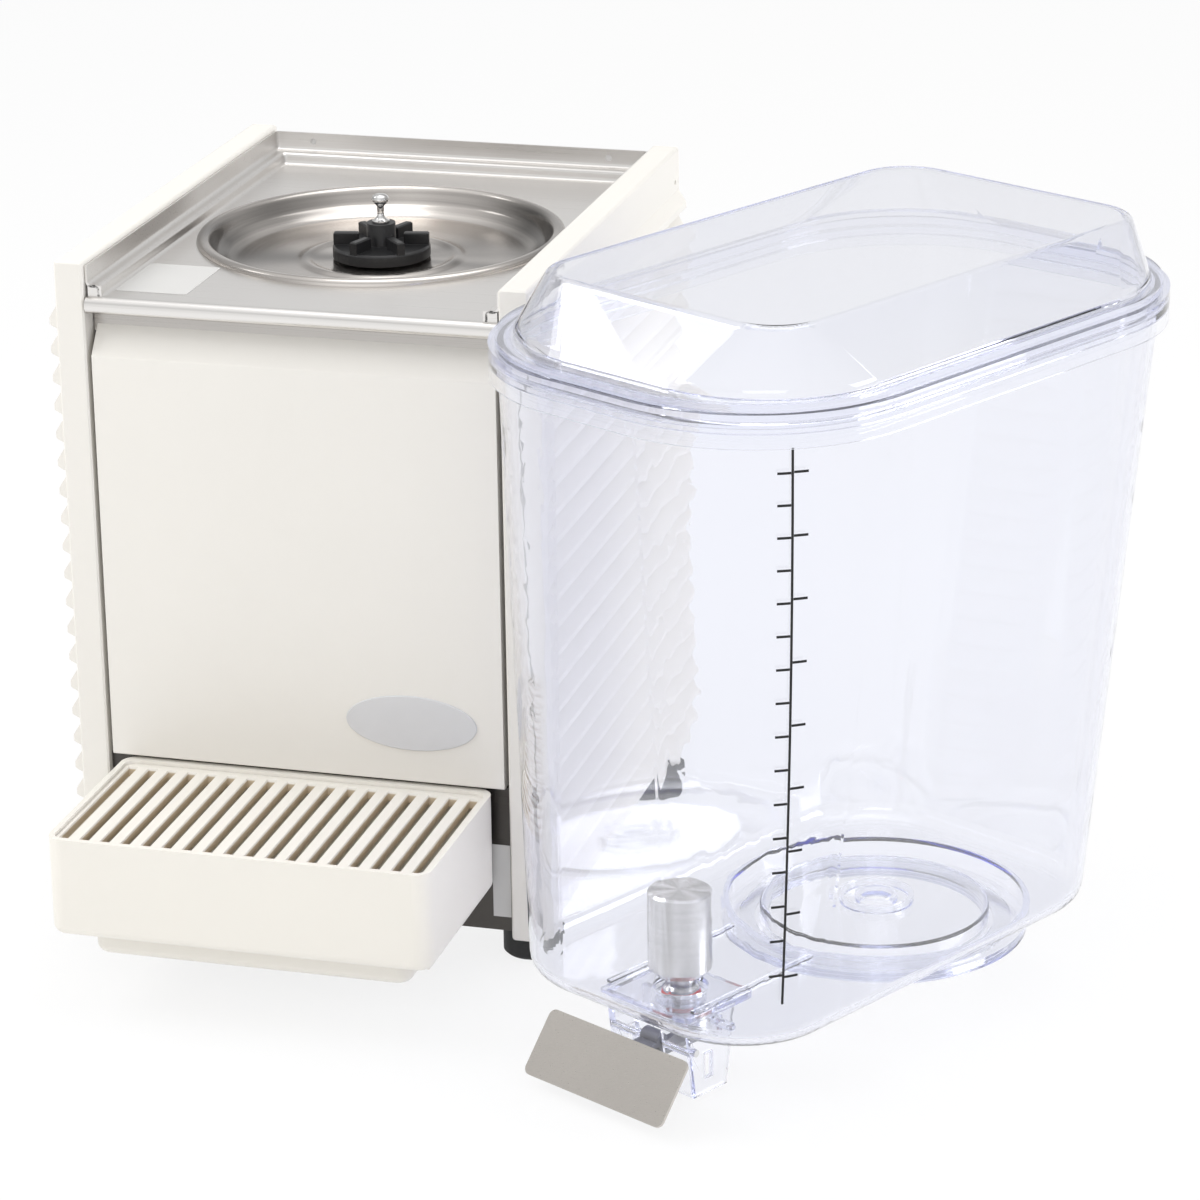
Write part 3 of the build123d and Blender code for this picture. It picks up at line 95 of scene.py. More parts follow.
# Outline of the impeller's pin: radius and depth below its top in millimetres
PIN_SHANK = 2.5
PIN_HEAD = [(1.2, 0.05), (2.8, 0.3), (4.2, 1.1), (4.85, 2.4), (4.85, 3.4), (4.2, 4.8), (2.8, 5.9)]
PIN_NECK = [(2.0, 7.0), (1.9, 11.0), (2.3, 12.9), (3.4, 14.2)]
PIN_COLLAR = [(4.85, 14.9), (4.85, 15.7), (PIN_SHANK, 15.8)]


def tone(name, description, default):
    """A colour among the settings."""
    return FloatVectorProperty(
        name=name, description=description, default=default, subtype="COLOR", size=3, min=0, max=1,
    )


def length(name, description, default):
    """A length among the settings, in metres."""
    return FloatProperty(name=name, description=description, default=default, unit="LENGTH", min=0)


def number(name, description, default):
    """A plain number among the settings."""
    return FloatProperty(name=name, description=description, default=default, min=0)


class CabinetSettings(bpy.types.PropertyGroup):
    shell: tone("Shell", "Moulded plastic of the side and front panels", (0.82, 0.795, 0.745))
    tray: tone("Tray", "Moulded plastic of the drip tray and its grille", (0.83, 0.80, 0.735))
    shell_roughness: number("Shell roughness", "How matt the moulded plastic is", 0.34)
    grain: length("Grain", "Depth of the fine mould texture", 0.00004)
    badge: tone("Badge", "Lacquer of the oval badge", (0.65, 0.65, 0.66))
    label: tone("Labels", "Film of the two labels", (0.62, 0.615, 0.60))
    panel_edge: length("Panel edge", "Softness of the side panels' edges", 0.0008)
    front_edge: length("Front edge", "Softness of the front panel's edges", 0.0006)
    tray_edge: length("Tray edge", "Softness of the tray's edges", 0.0012)
    slots: IntProperty(name="Slots", description="Slots in the tray's grille", default=18, min=1)
    slot_pitch: length("Slot pitch", "From one slot to the next", 0.0114)
    slot_width: length("Slot width", "Width of a slot at the bottom", 0.0042)
    slot_draft: number("Slot draft", "Width at the top over width at the bottom", 1.35)
    slot_margin: length("Slot margin", "Plate left at the ends of a slot", 0.0042)
    slot_slope: length("Slot slope", "Run of the slope at a slot's back end", 0.0035)
    # Painted shade: below the grille's top face the slot sides take a darker tan for the shade inside the
    # slots, not a colour of the plastic
    slot_depth: length("Slot depth", "From the grille's face to its warmer tone", 0.001)
    slot_painted_shade: tone("Slot painted shade", "Cream plastic inside the grille's slots", (0.52, 0.42, 0.29))
    grille_corner: length("Grille corner", "Corner radius of the grille", 0.0057)
    grille_edge: length("Grille edge", "Softness of the grille's edges", 0.0006)


class MetalSettings(bpy.types.PropertyGroup):
    deck: tone("Deck", "Brushed steel of the deck and the back panel", (0.92, 0.865, 0.805))
    # Painted shade: the apron is a darker copy of the deck steel
    apron: tone("Apron", "Steel of the deck's apron, in the shade of its edge", (0.50, 0.478, 0.455))
    # Painted shade: the plate behind the tray is steel darkened far below its own dark grey, for the shade
    # it lies in
    shaded: tone("Shaded steel", "Dull steel of the plate behind the tray", (0.08, 0.075, 0.07))
    dish: tone("Dish", "Spun steel of the cooling dish", (0.54, 0.51, 0.482))
    plunger: tone("Plunger", "Turned steel of the plunger and the pin", (0.86, 0.805, 0.735))
    plate: tone("Push plate", "Brushed steel of the push plate", (0.64, 0.605, 0.565))
    zinc: tone("Zinc", "Zinc-coated steel of the pan and brackets", (0.55, 0.56, 0.57))
    sheet: length("Sheet", "Thickness of the steel sheet", 0.0012)
    deck_floor: length("Deck floor", "Height of the deck", 0.36)
    deck_ledge: length("Ledge", "Width of the deck's step", 0.0065)
    deck_step: length("Step", "Height of the deck's step", 0.007)
    deck_hole: length("Deck hole", "Radius of the hole under the dish's rim", 0.096)
    fold: length("Fold", "Softness of the deck's folds", 0.0024)
    roll: length("Roll", "Radius of the deck's front edge", 0.0034)
    apron_gap: length("Apron gap", "From the front panel to the apron", 0.0003)
    pin_hole: length("Pin hole", "Radius of the dish's hole about the pin", 0.0026)


class BowlSettings(bpy.types.PropertyGroup):
    tint: tone("Tint", "Clear plastic seen square on", (0.972, 0.976, 0.99))
    edge: tone("Edge tint", "Clear plastic seen along its wall", (0.05, 0.07, 0.50))
    edge_falloff: number("Edge falloff", "How closely the edge tint keeps to the edge", 7.0)
    refraction: number("Refraction", "Bending of light in the clear walls", 1.45)
    shadow_tint: tone("Shadow tint", "Light that the clear walls let into their shadow", (0.95, 0.95, 0.975))
    depth_tint: tone("Depth tint", "Colour kept on a long way through the plastic", (0.77, 0.795, 0.955))
    depth: number("Depth", "How soon the plastic takes that colour", 40.0)
    joint_gap: length("Joint gap", "Air between two clear pieces that touch", 0.00005)
    rubber: tone("Seal rings", "Red rubber of the plunger's rings", (0.72, 0.02, 0.025))


class StudioSettings(bpy.types.PropertyGroup):
    focal_length: number("Lens", "Focal length in millimetres on a 36 mm sensor", 131.08)
    azimuth: number("Azimuth", "Turn of the camera in degrees", 15.77)
    pitch: number("Pitch", "Camera's tilt below the horizon in degrees", 20.032)
    roll: number("Roll", "Camera's roll in degrees", 0.819)
    place: FloatVectorProperty(
        name="Place", description="Camera from the cabinet's middle, front and floor",
        subtype="XYZ", unit="LENGTH", default=(0.7469, -2.0568, 0.9948),
    )
    fill: number("Fill", "Strength of the even light", 0.84)
    window: FloatVectorProperty(
        name="Window", description="Direction of the bright rectangle that only mirrors see",
        subtype="DIRECTION", default=(-0.746, -0.014, 0.656),
    )
    window_size: number("Window size", "Half width of that rectangle", 0.14)
    window_light: number("Window light", "Brightness of that rectangle", 2.6)
    softbox: number("Softbox", "Power of a softbox in watts", 9.0)
    bounces: IntProperty(name="Bounces", description="Light bounces for the clear walls", default=28, min=4)
    floor_size: length("Floor", "Side of the studio's floor", 14.0)
    floor_glow: number("Floor glow", "Share of its own light in the floor that is seen", 0.82)
    room_light: number("Room light", "How bright mirrors see the room", 0.92)
    front_light: number("Front light", "How much brighter the room is in front", 0.10)
    side_shade: number("Side shade", "How much darker the room is low at its sides", 0.62)


class Value:
    """A shader node's output, written in sums like a number."""

    def __init__(self, tree, socket):
        self.tree = tree
        self.socket = socket

    def maths(self, operation, other=0.0, swapped=False):
        node = self.tree.nodes.new("ShaderNodeMath")
        node.operation = operation
        pair = (other, self) if swapped else (self, other)
        for socket, item in zip(node.inputs, pair):
            feed(self.tree, socket, item)
        return Value(self.tree, node.outputs[0])

    def __add__(self, other):
        return self.maths("ADD", other)

    def __radd__(self, other):
        return self.maths("ADD", other)

    def __sub__(self, other):
        return self.maths("SUBTRACT", other)

    def __rsub__(self, other):
        return self.maths("SUBTRACT", other, swapped=True)

    def __mul__(self, other):
        return self.maths("MULTIPLY", other)

    def __rmul__(self, other):
        return self.maths("MULTIPLY", other)

    def __truediv__(self, other):
        return self.maths("DIVIDE", other)

    def __pow__(self, other):
        return self.maths("POWER", other)

    def clipped(self):
        return self.maths("MINIMUM", 1.0).maths("MAXIMUM", 0.0)


def feed(tree, socket, item):
    """Links a value to a socket, or sets the socket to a number or colour."""
    if isinstance(item, Value):
        tree.links.new(item.socket, socket)
    else:
        socket.default_value = item


def solid(colour):
    """A colour with its alpha."""
    return (*colour[:3], 1.0)


def shade(colour, factor):
    """A lighter or darker copy of a colour."""
    return tuple(min(1.0, c * factor) for c in colour[:3])


class Finish:
    """A material in the making."""

    def __init__(self, name, target=None):
        if target is None:
            target = bpy.data.materials.new(name)
            target.use_nodes = True
        self.target = target
        self.tree = target.node_tree
        self.tree.nodes.clear()

    def node(self, kind, inputs=None, output=0, stops=None, **settings):
        """One node: its settings first, then its sockets, by name or number."""
        made = self.tree.nodes.new("ShaderNode" + kind)
        for name, value in settings.items():
            setattr(made, name, value)
        if stops:
            ramp = made.color_ramp
            ramp.elements.remove(ramp.elements[1])
            ramp.elements[0].position = stops[0][0]
            for place, level in stops[1:]:
                ramp.elements.new(place)
            for element, (place, level) in zip(ramp.elements, stops):
                element.color = (level, level, level, 1.0)
        for name, value in (inputs or {}).items():
            feed(self.tree, made.inputs[name], value)
        return Value(self.tree, made.outputs[output])

    def place(self, centre=(0, 0, 0), turn=(0, 0, 0), stretch=(1, 1, 1)):
        """Object coordinates about a centre, turned and stretched."""
        where = self.node("TexCoord", output=3)
        moved = self.node("VectorMath", {0: where, 1: tuple(centre)}, operation="SUBTRACT")
        return self.node("Mapping", {"Vector": moved, "Rotation": turn, "Scale": stretch})

    def noise(self, where, scale, detail=2.0, roughness=0.5):
        """Soft random patches, finer with a larger scale."""
        sockets = {"Vector": where, "Scale": scale, "Detail": detail, "Roughness": roughness}
        return self.node("TexNoise", sockets)

    def parts(self, where):
        """The three numbers of a vector."""
        node = self.tree.nodes.new("ShaderNodeSeparateXYZ")
        feed(self.tree, node.inputs[0], where)
        return [Value(self.tree, out) for out in node.outputs]

    def rays(self, *names):
        """Which kind of ray is looking: one where it is of that kind and nought elsewhere."""
        node = self.tree.nodes.new("ShaderNodeLightPath")
        return [Value(self.tree, node.outputs[name]) for name in names]

    def dot(self, where, axis):
        """How far a direction goes along an axis."""
        return self.node("VectorMath", {0: where, 1: tuple(axis)}, output=1, operation="DOT_PRODUCT")

    def vector(self, x, y, z):
        """A vector from three numbers."""
        return self.node("CombineXYZ", {0: x, 1: y, 2: z})

    def mix(self, low, high, factor):
        """A colour between two."""
        return self.node("Mix", {0: factor, 6: low, 7: high}, output=2, data_type="RGBA")

    def bump(self, height, distance):
        """A surface direction that follows small heights."""
        return self.node("Bump", {"Height": height, "Distance": distance, "Strength": 1.0})

    def done(self, **sockets):
        """Ends the material with one Principled surface."""
        named = {name.replace("_", " "): value for name, value in sockets.items()}
        self.surface(self.node("BsdfPrincipled", named))
        return self.target

    def surface(self, shader, volume=None):
        """Ends the material with a shader and what fills its inside."""
        out = self.tree.nodes.new("ShaderNodeOutputMaterial")
        self.tree.links.new(shader.socket, out.inputs["Surface"])
        if volume:
            self.tree.links.new(volume.socket, out.inputs["Volume"])


def moulded(name, colour, roughness, grain, coat=0.15, shaded_box=None):
    """Glossy moulded plastic with a fine grain and faint flow marks, and painted shade inside a box."""
    f = Finish(name)
    where = f.place()
    flow = f.noise(where, 7.0, 3.0)
    fine = f.noise(where, 1400.0, 2.0)
    base = f.mix(solid(shade(colour, 0.965)), solid(shade(colour, 1.02)), flow)
    # Painted shade: inside the box the plastic takes a darker colour
    if shaded_box:
        low, high, shade_colour = shaded_box
        inside = 1.0
        for value, near, far in zip(f.parts(where), low, high):
            past_near = ((value - near) * 1500.0).clipped()
            before_far = ((value * -1.0 + far) * 1500.0).clipped()
            inside = past_near * inside * before_far
        base = f.mix(base, solid(shade_colour), inside)
    return f.done(
        Base_Color=base, Roughness=roughness + (flow - 0.5) * 0.12, Normal=f.bump(fine, grain),
        Coat_Weight=coat, Coat_Roughness=0.12, IOR=1.5,
    )


def brushed(name, colour, stretch, roughness=0.3, depth=0.00002, turn=(0, 0, 0), contrast=0.10):
    """Brushed steel: long fine lines along the axis that is stretched least."""
    f = Finish(name)
    where = f.place(turn=turn, stretch=stretch)
    lines = f.noise(where, 1.0, 5.0, 0.7)
    cloud = f.noise(f.place(), 9.0, 2.0)
    level = (lines - 0.5) * 2 * contrast + (cloud - 0.5) * 0.12 + 1.0
    base = f.mix(solid(shade(colour, 0.7)), solid(shade(colour, 1.3)), ((level - 0.7) / 0.6).clipped())
    return f.done(
        Base_Color=base, Metallic=1.0, Roughness=roughness + (lines - 0.5) * 0.18,
        Normal=f.bump(lines, depth),
    )


def spun(name, colour, centre, rings=900.0, wedges=5.0, swing=0.16, roughness=0.24, bow=0.0, bow_turn=0.0,
         wall=(1.0, 1.01), wall_shade=0.0):
    """Steel turned on a lathe, with fine rings about an upright axis and soft radial bands.

    The radial bands are painted highlight and reflection. The bow is painted reflection: it darkens two
    opposite sides and brightens the two between them. The wall is a ring of painted shade between two radii.
    """
    f = Finish(name)
    x, y, z = f.parts(f.place(centre=centre))
    radius = (x * x + y * y).maths("SQRT")
    angle = y.maths("ARCTAN2", x)
    lines = f.noise(f.vector(radius * rings, z * rings, 0.0), 1.0, 3.0)
    # Painted highlights: radial bands and a fan of rays, lighter and darker by angle
    painted_bands = (angle * wedges + (angle * 2.0).maths("SINE") * 1.3).maths("SINE")
    rays = (angle * 11.0 + (angle * 3.0).maths("SINE") * 2.0).maths("SINE")
    painted_fan = rays * (angle * 2.0).maths("COSINE")
    # Painted reflection: two opposite sides darker, the two between them brighter
    painted_wings = (angle * 2.0 + bow_turn).maths("COSINE") * bow
    # Painted shade on a ring of the wall
    inner, outer = wall
    painted_wall_shade = ((radius - inner) * 400.0).clipped() * ((radius * -1.0 + outer) * 900.0).clipped() * wall_shade
    level = painted_bands * swing + painted_fan * (swing * 0.6) - painted_wings - painted_wall_shade + (lines - 0.5) * 0.22 + 1.0
    base = f.mix(solid(shade(colour, 0.3)), solid(shade(colour, 1.5)), ((level - 0.3) / 1.2).clipped())
    return f.done(
        Base_Color=base, Metallic=1.0, Roughness=roughness + (lines - 0.5) * 0.16,
        Normal=f.bump(lines, 0.00001),
    )


def clear(name, s):
    """Clear plastic, blue along its edges, that lets light through to what it covers."""
    f = Finish(name)
    facing = f.node("LayerWeight", {"Blend": 0.3}, output=1)
    swirl = f.noise(f.place(), 11.0, 2.0)
    base = f.mix(solid(s.tint), solid(s.edge), ((facing ** s.edge_falloff) * (swirl * 0.5 + 0.75)).clipped())
    body = f.node("BsdfPrincipled", {
        "Base Color": base, "Roughness": 0.012, "IOR": s.refraction, "Transmission Weight": 1.0,
        "Coat Weight": 0.8, "Coat Roughness": 0.012, "Coat IOR": 1.5,
    })
    through = f.node("BsdfTransparent", {"Color": solid(s.shadow_tint)})
    shadow = f.rays("Is Shadow Ray")[0]
    absorb = f.node("VolumeAbsorption", {"Color": solid(s.depth_tint), "Density": s.depth})
    f.surface(f.node("MixShader", {0: shadow, 1: body, 2: through}), absorb)
    return f.target


def plain(name, colour, roughness, metallic=0.0, grain=0.00003, scale=900.0, variation=0.06, coat=0.0):
    """A simple finish with a fine texture and some variation."""
    f = Finish(name)
    where = f.place()
    cloud = f.noise(where, 24.0, 3.0)
    fine = f.noise(where, scale, 2.0)
    low = solid(shade(colour, 1 - variation))
    high = solid(shade(colour, 1 + variation))
    return f.done(
        Base_Color=f.mix(low, high, cloud), Metallic=metallic, Roughness=roughness + (cloud - 0.5) * 0.15,
        Normal=f.bump(fine, grain), Coat_Weight=coat,
    )


def dress(material, *names):
    """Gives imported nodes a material."""
    for name in names:
        for slot in nodes[name].material_slots:
            slot.material = material


def weld(piece):
    """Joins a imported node's loose triangles while it is drawn."""
    joint = piece.modifiers.new("weld", "WELD")
    joint.merge_threshold = HAIR / 10


def unstick(gap, *names):
    """Draws pieces a hair smaller, so that light and movement cross the joint between two of them."""
    for name in names:
        weld(nodes[name])
        shrink = nodes[name].modifiers.new("shrink", "DISPLACE")
        shrink.mid_level = 0.0
        shrink.strength = -gap


def soften(width, *names):
    """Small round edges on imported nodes, made by modifiers."""
    for name in names:
        piece = nodes[name]
        weld(piece)
        bevel = piece.modifiers.new("edges", "BEVEL")
        bevel.width = width
        bevel.segments = 2
        bevel.limit_method = "ANGLE"
        bevel.angle_limit = SHARP
        bevel.harden_normals = True


def start(piece):
    """Names a new primitive and gives it its place in its mesh."""
    bpy.ops.object.transform_apply(location=True, rotation=True, scale=True)
    made = bpy.context.object
    made.name = piece
    return made


def block(piece, low, high):
    """A box between two corners, to be shaped."""
    bpy.ops.object.select_all(action="DESELECT")
    bpy.ops.mesh.primitive_cube_add(size=1, location=(low + high) / 2, scale=high - low)
    return start(piece)


def hoop(piece, centre, radius, z, sides=96):
    """A ring of edges about an upright axis, to be extruded."""
    bpy.ops.object.select_all(action="DESELECT")
    bpy.ops.mesh.primitive_circle_add(vertices=sides, radius=radius, location=(centre.x, centre.y, z))
    return start(piece)


def rod(piece, centre, radius, z0, z1, sides=96):
    """An upright cylinder, to be shaped."""
    bpy.ops.object.select_all(action="DESELECT")
    bpy.ops.mesh.primitive_cylinder_add(
        vertices=sides, radius=radius, depth=z1 - z0, location=(centre.x, centre.y, (z0 + z1) / 2),
    )
    return start(piece)


def turned(piece, centre, profile, sides=96):
    """A sheet turned about an upright axis, from pairs of radius and height."""
    sheet = hoop(piece, centre, *profile[0], sides)
    edit(sheet, lambda bm: bm.edges)
    before, height = profile[0]
    for radius, z in profile[1:]:
        bpy.ops.mesh.extrude_region_move(TRANSFORM_OT_translate={"value": (0, 0, z - height)})
        wider = radius / before
        bpy.ops.transform.resize(value=(wider, wider, 1), center_override=(centre.x, centre.y, z))
        before, height = radius, z
    bpy.ops.mesh.select_all(action="SELECT")
    bpy.ops.mesh.normals_make_consistent(inside=False)
    bpy.ops.object.mode_set(mode="OBJECT")
    return sheet


def edit(piece, choose, kind="EDGE"):
    """Opens a piece in edit mode with the chosen vertices, edges or faces selected."""
    if bpy.context.mode != "OBJECT":
        bpy.ops.object.mode_set(mode="OBJECT")
    bpy.ops.object.select_all(action="DESELECT")
    piece.select_set(True)
    bpy.context.view_layer.objects.active = piece
    bpy.ops.object.mode_set(mode="EDIT")
    bpy.ops.mesh.select_mode(type=kind)
    bpy.ops.mesh.select_all(action="DESELECT")
    bm = bmesh.from_edit_mesh(piece.data)
    for item in choose(bm):
        item.select_set(True)
    bmesh.update_edit_mesh(piece.data)


def upright(edge):
    """Whether an edge stands upright."""
    a, b = (v.co for v in edge.verts)
    return abs(a.z - b.z) > HAIR and abs(a.x - b.x) + abs(a.y - b.y) < HAIR / 10


def copied(piece, offset):
    """A copy with its own mesh, moved by an offset."""
    twin = piece.copy()
    twin.data = piece.data.copy()
    bpy.context.scene.collection.objects.link(twin)
    twin.data.transform(Matrix.Translation(offset))
    return twin


def joined(pieces):
    """The first piece with the others joined to it."""
    bpy.ops.object.select_all(action="DESELECT")
    for piece in pieces:
        piece.select_set(True)
    bpy.context.view_layer.objects.active = pieces[0]
    bpy.ops.object.join()
    return pieces[0]


def modify(piece, kind, **settings):
    """Adds a modifier and applies it."""
    bpy.ops.object.select_all(action="DESELECT")
    piece.select_set(True)
    bpy.context.view_layer.objects.active = piece
    modifier = piece.modifiers.new(kind.lower(), kind)
    for name, value in settings.items():
        setattr(modifier, name, value)
    bpy.ops.object.modifier_apply(modifier=modifier.name)


def cut(piece, cutter):
    """Takes a cutter's shape away."""
    modify(piece, "BOOLEAN", operation="DIFFERENCE", object=cutter, solver="EXACT")
    bpy.data.objects.remove(cutter)


def rounded(piece, width):
    """Rounds the sharp edges of a piece and shades it smoothly."""
    modify(piece, "BEVEL", width=width, segments=3, limit_method="ANGLE", angle_limit=SHARP)
    bpy.ops.object.shade_smooth_by_angle(angle=math.radians(40))


def finished(piece, material, body, slot, *replaced):
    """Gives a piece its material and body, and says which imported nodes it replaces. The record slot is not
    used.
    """
    piece.data.materials.clear()
    piece.data.materials.append(material)
    if replaced:
        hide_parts(*replaced)
    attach(piece, body)


def faces_up(piece):
    """Turns an open sheet so that its largest level face points up, and the rest with it."""
    edit(piece, lambda bm: bm.faces, "FACE")
    bpy.ops.mesh.normals_make_consistent(inside=False)
    bm = bmesh.from_edit_mesh(piece.data)
    level = max(bm.faces, key=lambda face: abs(face.normal.z) * face.calc_area())
    if level.normal.z < 0:
        bpy.ops.mesh.flip_normals()
    bpy.ops.object.mode_set(mode="OBJECT")


class DISPENSER_OT_shell(bpy.types.Operator):
    """Side panels, front panel, badge and labels"""

    bl_idname = "dispenser.shell"
    bl_label = "Shell"

    def execute(self, context):
        s = context.scene.dispenser_cabinet
        shell = moulded("shell plastic", s.shell, s.shell_roughness, s.grain)
        dress(shell, "left_side_panel", "right_side_panel", "front_panel")
        soften(s.panel_edge, "left_side_panel", "right_side_panel")
        soften(s.front_edge, "front_panel")
        dress(plain("badge lacquer", s.badge, roughness=0.35, coat=0.4), "badge_plate")
        dress(plain("label film", s.label, roughness=0.42, variation=0.03), "deck_label", "data_label")
        return {"FINISHED"}


class DISPENSER_OT_tray(bpy.types.Operator):
    """Drip tray, grille and rails"""

    bl_idname = "dispenser.tray"
    bl_label = "Tray"

    def execute(self, context):
        s = context.scene.dispenser_cabinet
        plastic = moulded("tray plastic", s.tray, s.shell_roughness, s.grain)
        dress(plastic, "drip_tray", "tray_rails")
        soften(s.tray_edge, "drip_tray")
        self.grille(s)
        return {"FINISHED"}

    def grille(self, s):
        """A moulded plate with long drafted slots, each sloped at its back end."""
        low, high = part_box("drip_grille")
        # The slot sides below the grille's top face take painted shade
        shaded_box = (low + Vector((MM, MM, -MM)), high - Vector((MM, MM, s.slot_depth)), s.slot_painted_shade)
        plastic = moulded("grille plastic", s.tray, s.shell_roughness, s.grain, shaded_box=shaded_box)
        grille = block("grille_bars", low, high)
        edit(grille, lambda bm: [e for e in bm.edges if upright(e)])
        bpy.ops.mesh.bevel(offset=s.grille_corner, segments=5, affect="EDGES")
        bpy.ops.object.mode_set(mode="OBJECT")
        cutter = self.slot_cutter(s, low, high)
        middle = (s.slots - 1) / 2
        cutters = [copied(cutter, Vector(((i - middle) * s.slot_pitch, 0, 0))) for i in range(s.slots)]
        bpy.data.objects.remove(cutter)
        cut(grille, joined(cutters))
        rounded(grille, s.grille_edge)
        finished(grille, plastic, "grille", "tray_cream", "drip_grille")

    def slot_cutter(self, s, low, high):
        """The shape of one slot, wider above than below."""
        x = (low.x + high.x) / 2
        near = Vector((x - s.slot_width / 2, low.y + s.slot_margin, low.z - MM))
        far = Vector((x + s.slot_width / 2, high.y - s.slot_margin - s.slot_slope, high.z + MM))
        cutter = block("slot_cutter", near, far)
        middle = (low.y + high.y) / 2
        top = Vector((x, (near.y + far.y) / 2, far.z))
        edit(cutter, lambda bm: [v for v in bm.verts if v.co.z > high.z], "VERT")
        bpy.ops.transform.resize(value=(s.slot_draft, 1.0, 1.0), center_override=top)
        edit(cutter, lambda bm: [v for v in bm.verts if v.co.z > high.z and v.co.y > middle], "VERT")
        bpy.ops.transform.translate(value=(0, s.slot_slope, 0))
        bpy.ops.object.mode_set(mode="OBJECT")
        return cutter


class DISPENSER_OT_deck(bpy.types.Operator):
    """Steel deck, dish, impeller pin, lower plate and rear panel"""

    bl_idname = "dispenser.deck"
    bl_label = "Deck"

    def execute(self, context):
        s = context.scene.dispenser_metal
        self.pan(s, brushed("deck steel", s.deck, BRUSHED_ALONG_X))
        dress(brushed("plate steel", s.deck, BRUSHED_ALONG_X), "rear_panel")
        # Painted shade: the lower plate is near black for the shade behind the tray
        dress(brushed("shaded steel", s.shaded, BRUSHED_ALONG_X), "lower_front_plate")
        # The dish's bow and bands are painted reflection and highlight, and its wall ring is painted shade
        steel = spun(
            "dish steel", s.dish, DISH, swing=0.14, roughness=0.2, bow=0.42, bow_turn=-0.55,
            wall=(DISH_RIM - 17 * MM, DISH_RIM - 6.5 * MM), wall_shade=0.3,
        )
        self.dish(s, steel)
        # The pin's radial bands are painted highlights
        self.pin(spun("pin steel", s.plunger, DISH, wedges=3.0, swing=0.2, roughness=0.12))
        zinc = plain("zinc steel", s.zinc, roughness=0.45, metallic=1.0)
        dress(zinc, "base_pan", "motor_bracket", "fan_shroud", "fan_bracket")
        dress(zinc, "condenser_end_plates", "control_box")
        return {"FINISHED"}

    def dish(self, s, steel):
        """The spun dish: a rolled rim, a wall with a soft step, a floor and a bead about the pin."""
        floor = DISH_LOW.z + s.sheet
        profile = [(DISH_RIM, floor + DISH_SKIRT * MM)]
        profile += [(DISH_RIM - inward * MM, DISH_HIGH.z - down * MM) for inward, down in DISH_ROLL]
        profile += [(DISH_RIM - inward * MM, floor + up * MM) for inward, up in DISH_WALL]
        profile += [(radius * MM, floor + up * MM) for radius, up in DISH_BEAD]
        profile += [(s.pin_hole, floor)]
        dish = turned("dish_shell", DISH, profile)
        modify(dish, "SUBSURF", levels=2, render_levels=2)
        faces_up(dish)
        modify(dish, "SOLIDIFY", thickness=s.sheet, offset=-1.0)
        bpy.ops.object.shade_smooth_by_angle(angle=math.radians(60))
        finished(dish, steel, "cabinet", "dish_steel", "evaporator_dish")

    def pin(self, steel):
        """The impeller's pin: a round head on a neck that flares to a collar over the hub."""
        low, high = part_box("impeller_pin")
        outline = PIN_HEAD + PIN_NECK + PIN_COLLAR
        profile = [(radius * MM, high.z - down * MM) for radius, down in outline]
        profile += [(PIN_SHANK * MM, low.z)]
        pin = turned("impeller_spindle", DISH, profile, sides=48)
        edit(pin, lambda bm: [e for e in bm.edges if e.is_boundary])
        bpy.ops.mesh.edge_face_add()
        bpy.ops.mesh.select_all(action="SELECT")
        bpy.ops.mesh.normals_make_consistent(inside=False)
        bpy.ops.object.mode_set(mode="OBJECT")
        bpy.ops.object.shade_smooth_by_angle(angle=math.radians(50))
        finished(pin, steel, "cabinet", "bright_steel", "impeller_pin")

    def pan(self, s, steel):
        """The formed deck: a floor with a stepped wall round three sides, and a rolled front edge."""
        low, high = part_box("top_deck")
        middle = (low.x + high.x) / 2
        half = (high.x - low.x) / 2 - s.sheet
        floor_half = half - s.deck_ledge
        front = low.y + s.roll
        back = high.y - s.sheet
        depth = back - s.deck_ledge - front
        bpy.ops.object.select_all(action="DESELECT")
        bpy.ops.mesh.primitive_plane_add(size=1, location=(middle, front + depth / 2, s.deck_floor))
        bpy.context.object.scale = (2 * floor_half, depth, 1)
        deck = start("deck_pan")
        edit(deck, lambda bm: [e for e in bm.edges if max(v.co.y for v in e.verts) > front + HAIR])
        bpy.ops.mesh.extrude_region_move(TRANSFORM_OT_translate={"value": (0, 0, s.deck_step)})
        bpy.ops.mesh.extrude_region_move(TRANSFORM_OT_translate={"value": (0, 0, 0)})
        outward = (half / floor_half, (depth + s.deck_ledge) / depth, 1)
        bpy.ops.transform.resize(value=outward, center_override=(middle, front, s.deck_floor + s.deck_step))
        rise = high.z - s.deck_floor - s.deck_step
        bpy.ops.mesh.extrude_region_move(TRANSFORM_OT_translate={"value": (0, 0, rise)})
        edit(deck, lambda bm: [e for e in bm.edges if len(e.link_faces) == 2 and e.calc_face_angle() > 0.5])
        bpy.ops.mesh.bevel(offset=s.fold, segments=5, affect="EDGES")
        bpy.ops.object.mode_set(mode="OBJECT")
        faces_up(deck)
        modify(deck, "SOLIDIFY", thickness=s.sheet, offset=-1.0)
        cut(deck, rod("dish_hole", DISH, s.deck_hole, s.deck_floor - 10 * MM, s.deck_floor + 10 * MM))
        ends = []
        for side in (-1, 1):
            near, far = sorted((middle + side * (floor_half - s.sheet), middle + side * half))
            bottom = Vector((near, front, s.deck_floor - s.sheet))
            top = Vector((far, front + s.sheet, s.deck_floor + s.deck_step))
            ends.append(block("deck_end", bottom, top))
        deck = joined([deck, *ends, self.front_roll(s, low, high, front)])
        bpy.ops.object.shade_smooth_by_angle(angle=math.radians(40))
        finished(deck, steel, "cabinet", "deck_steel", "top_deck")
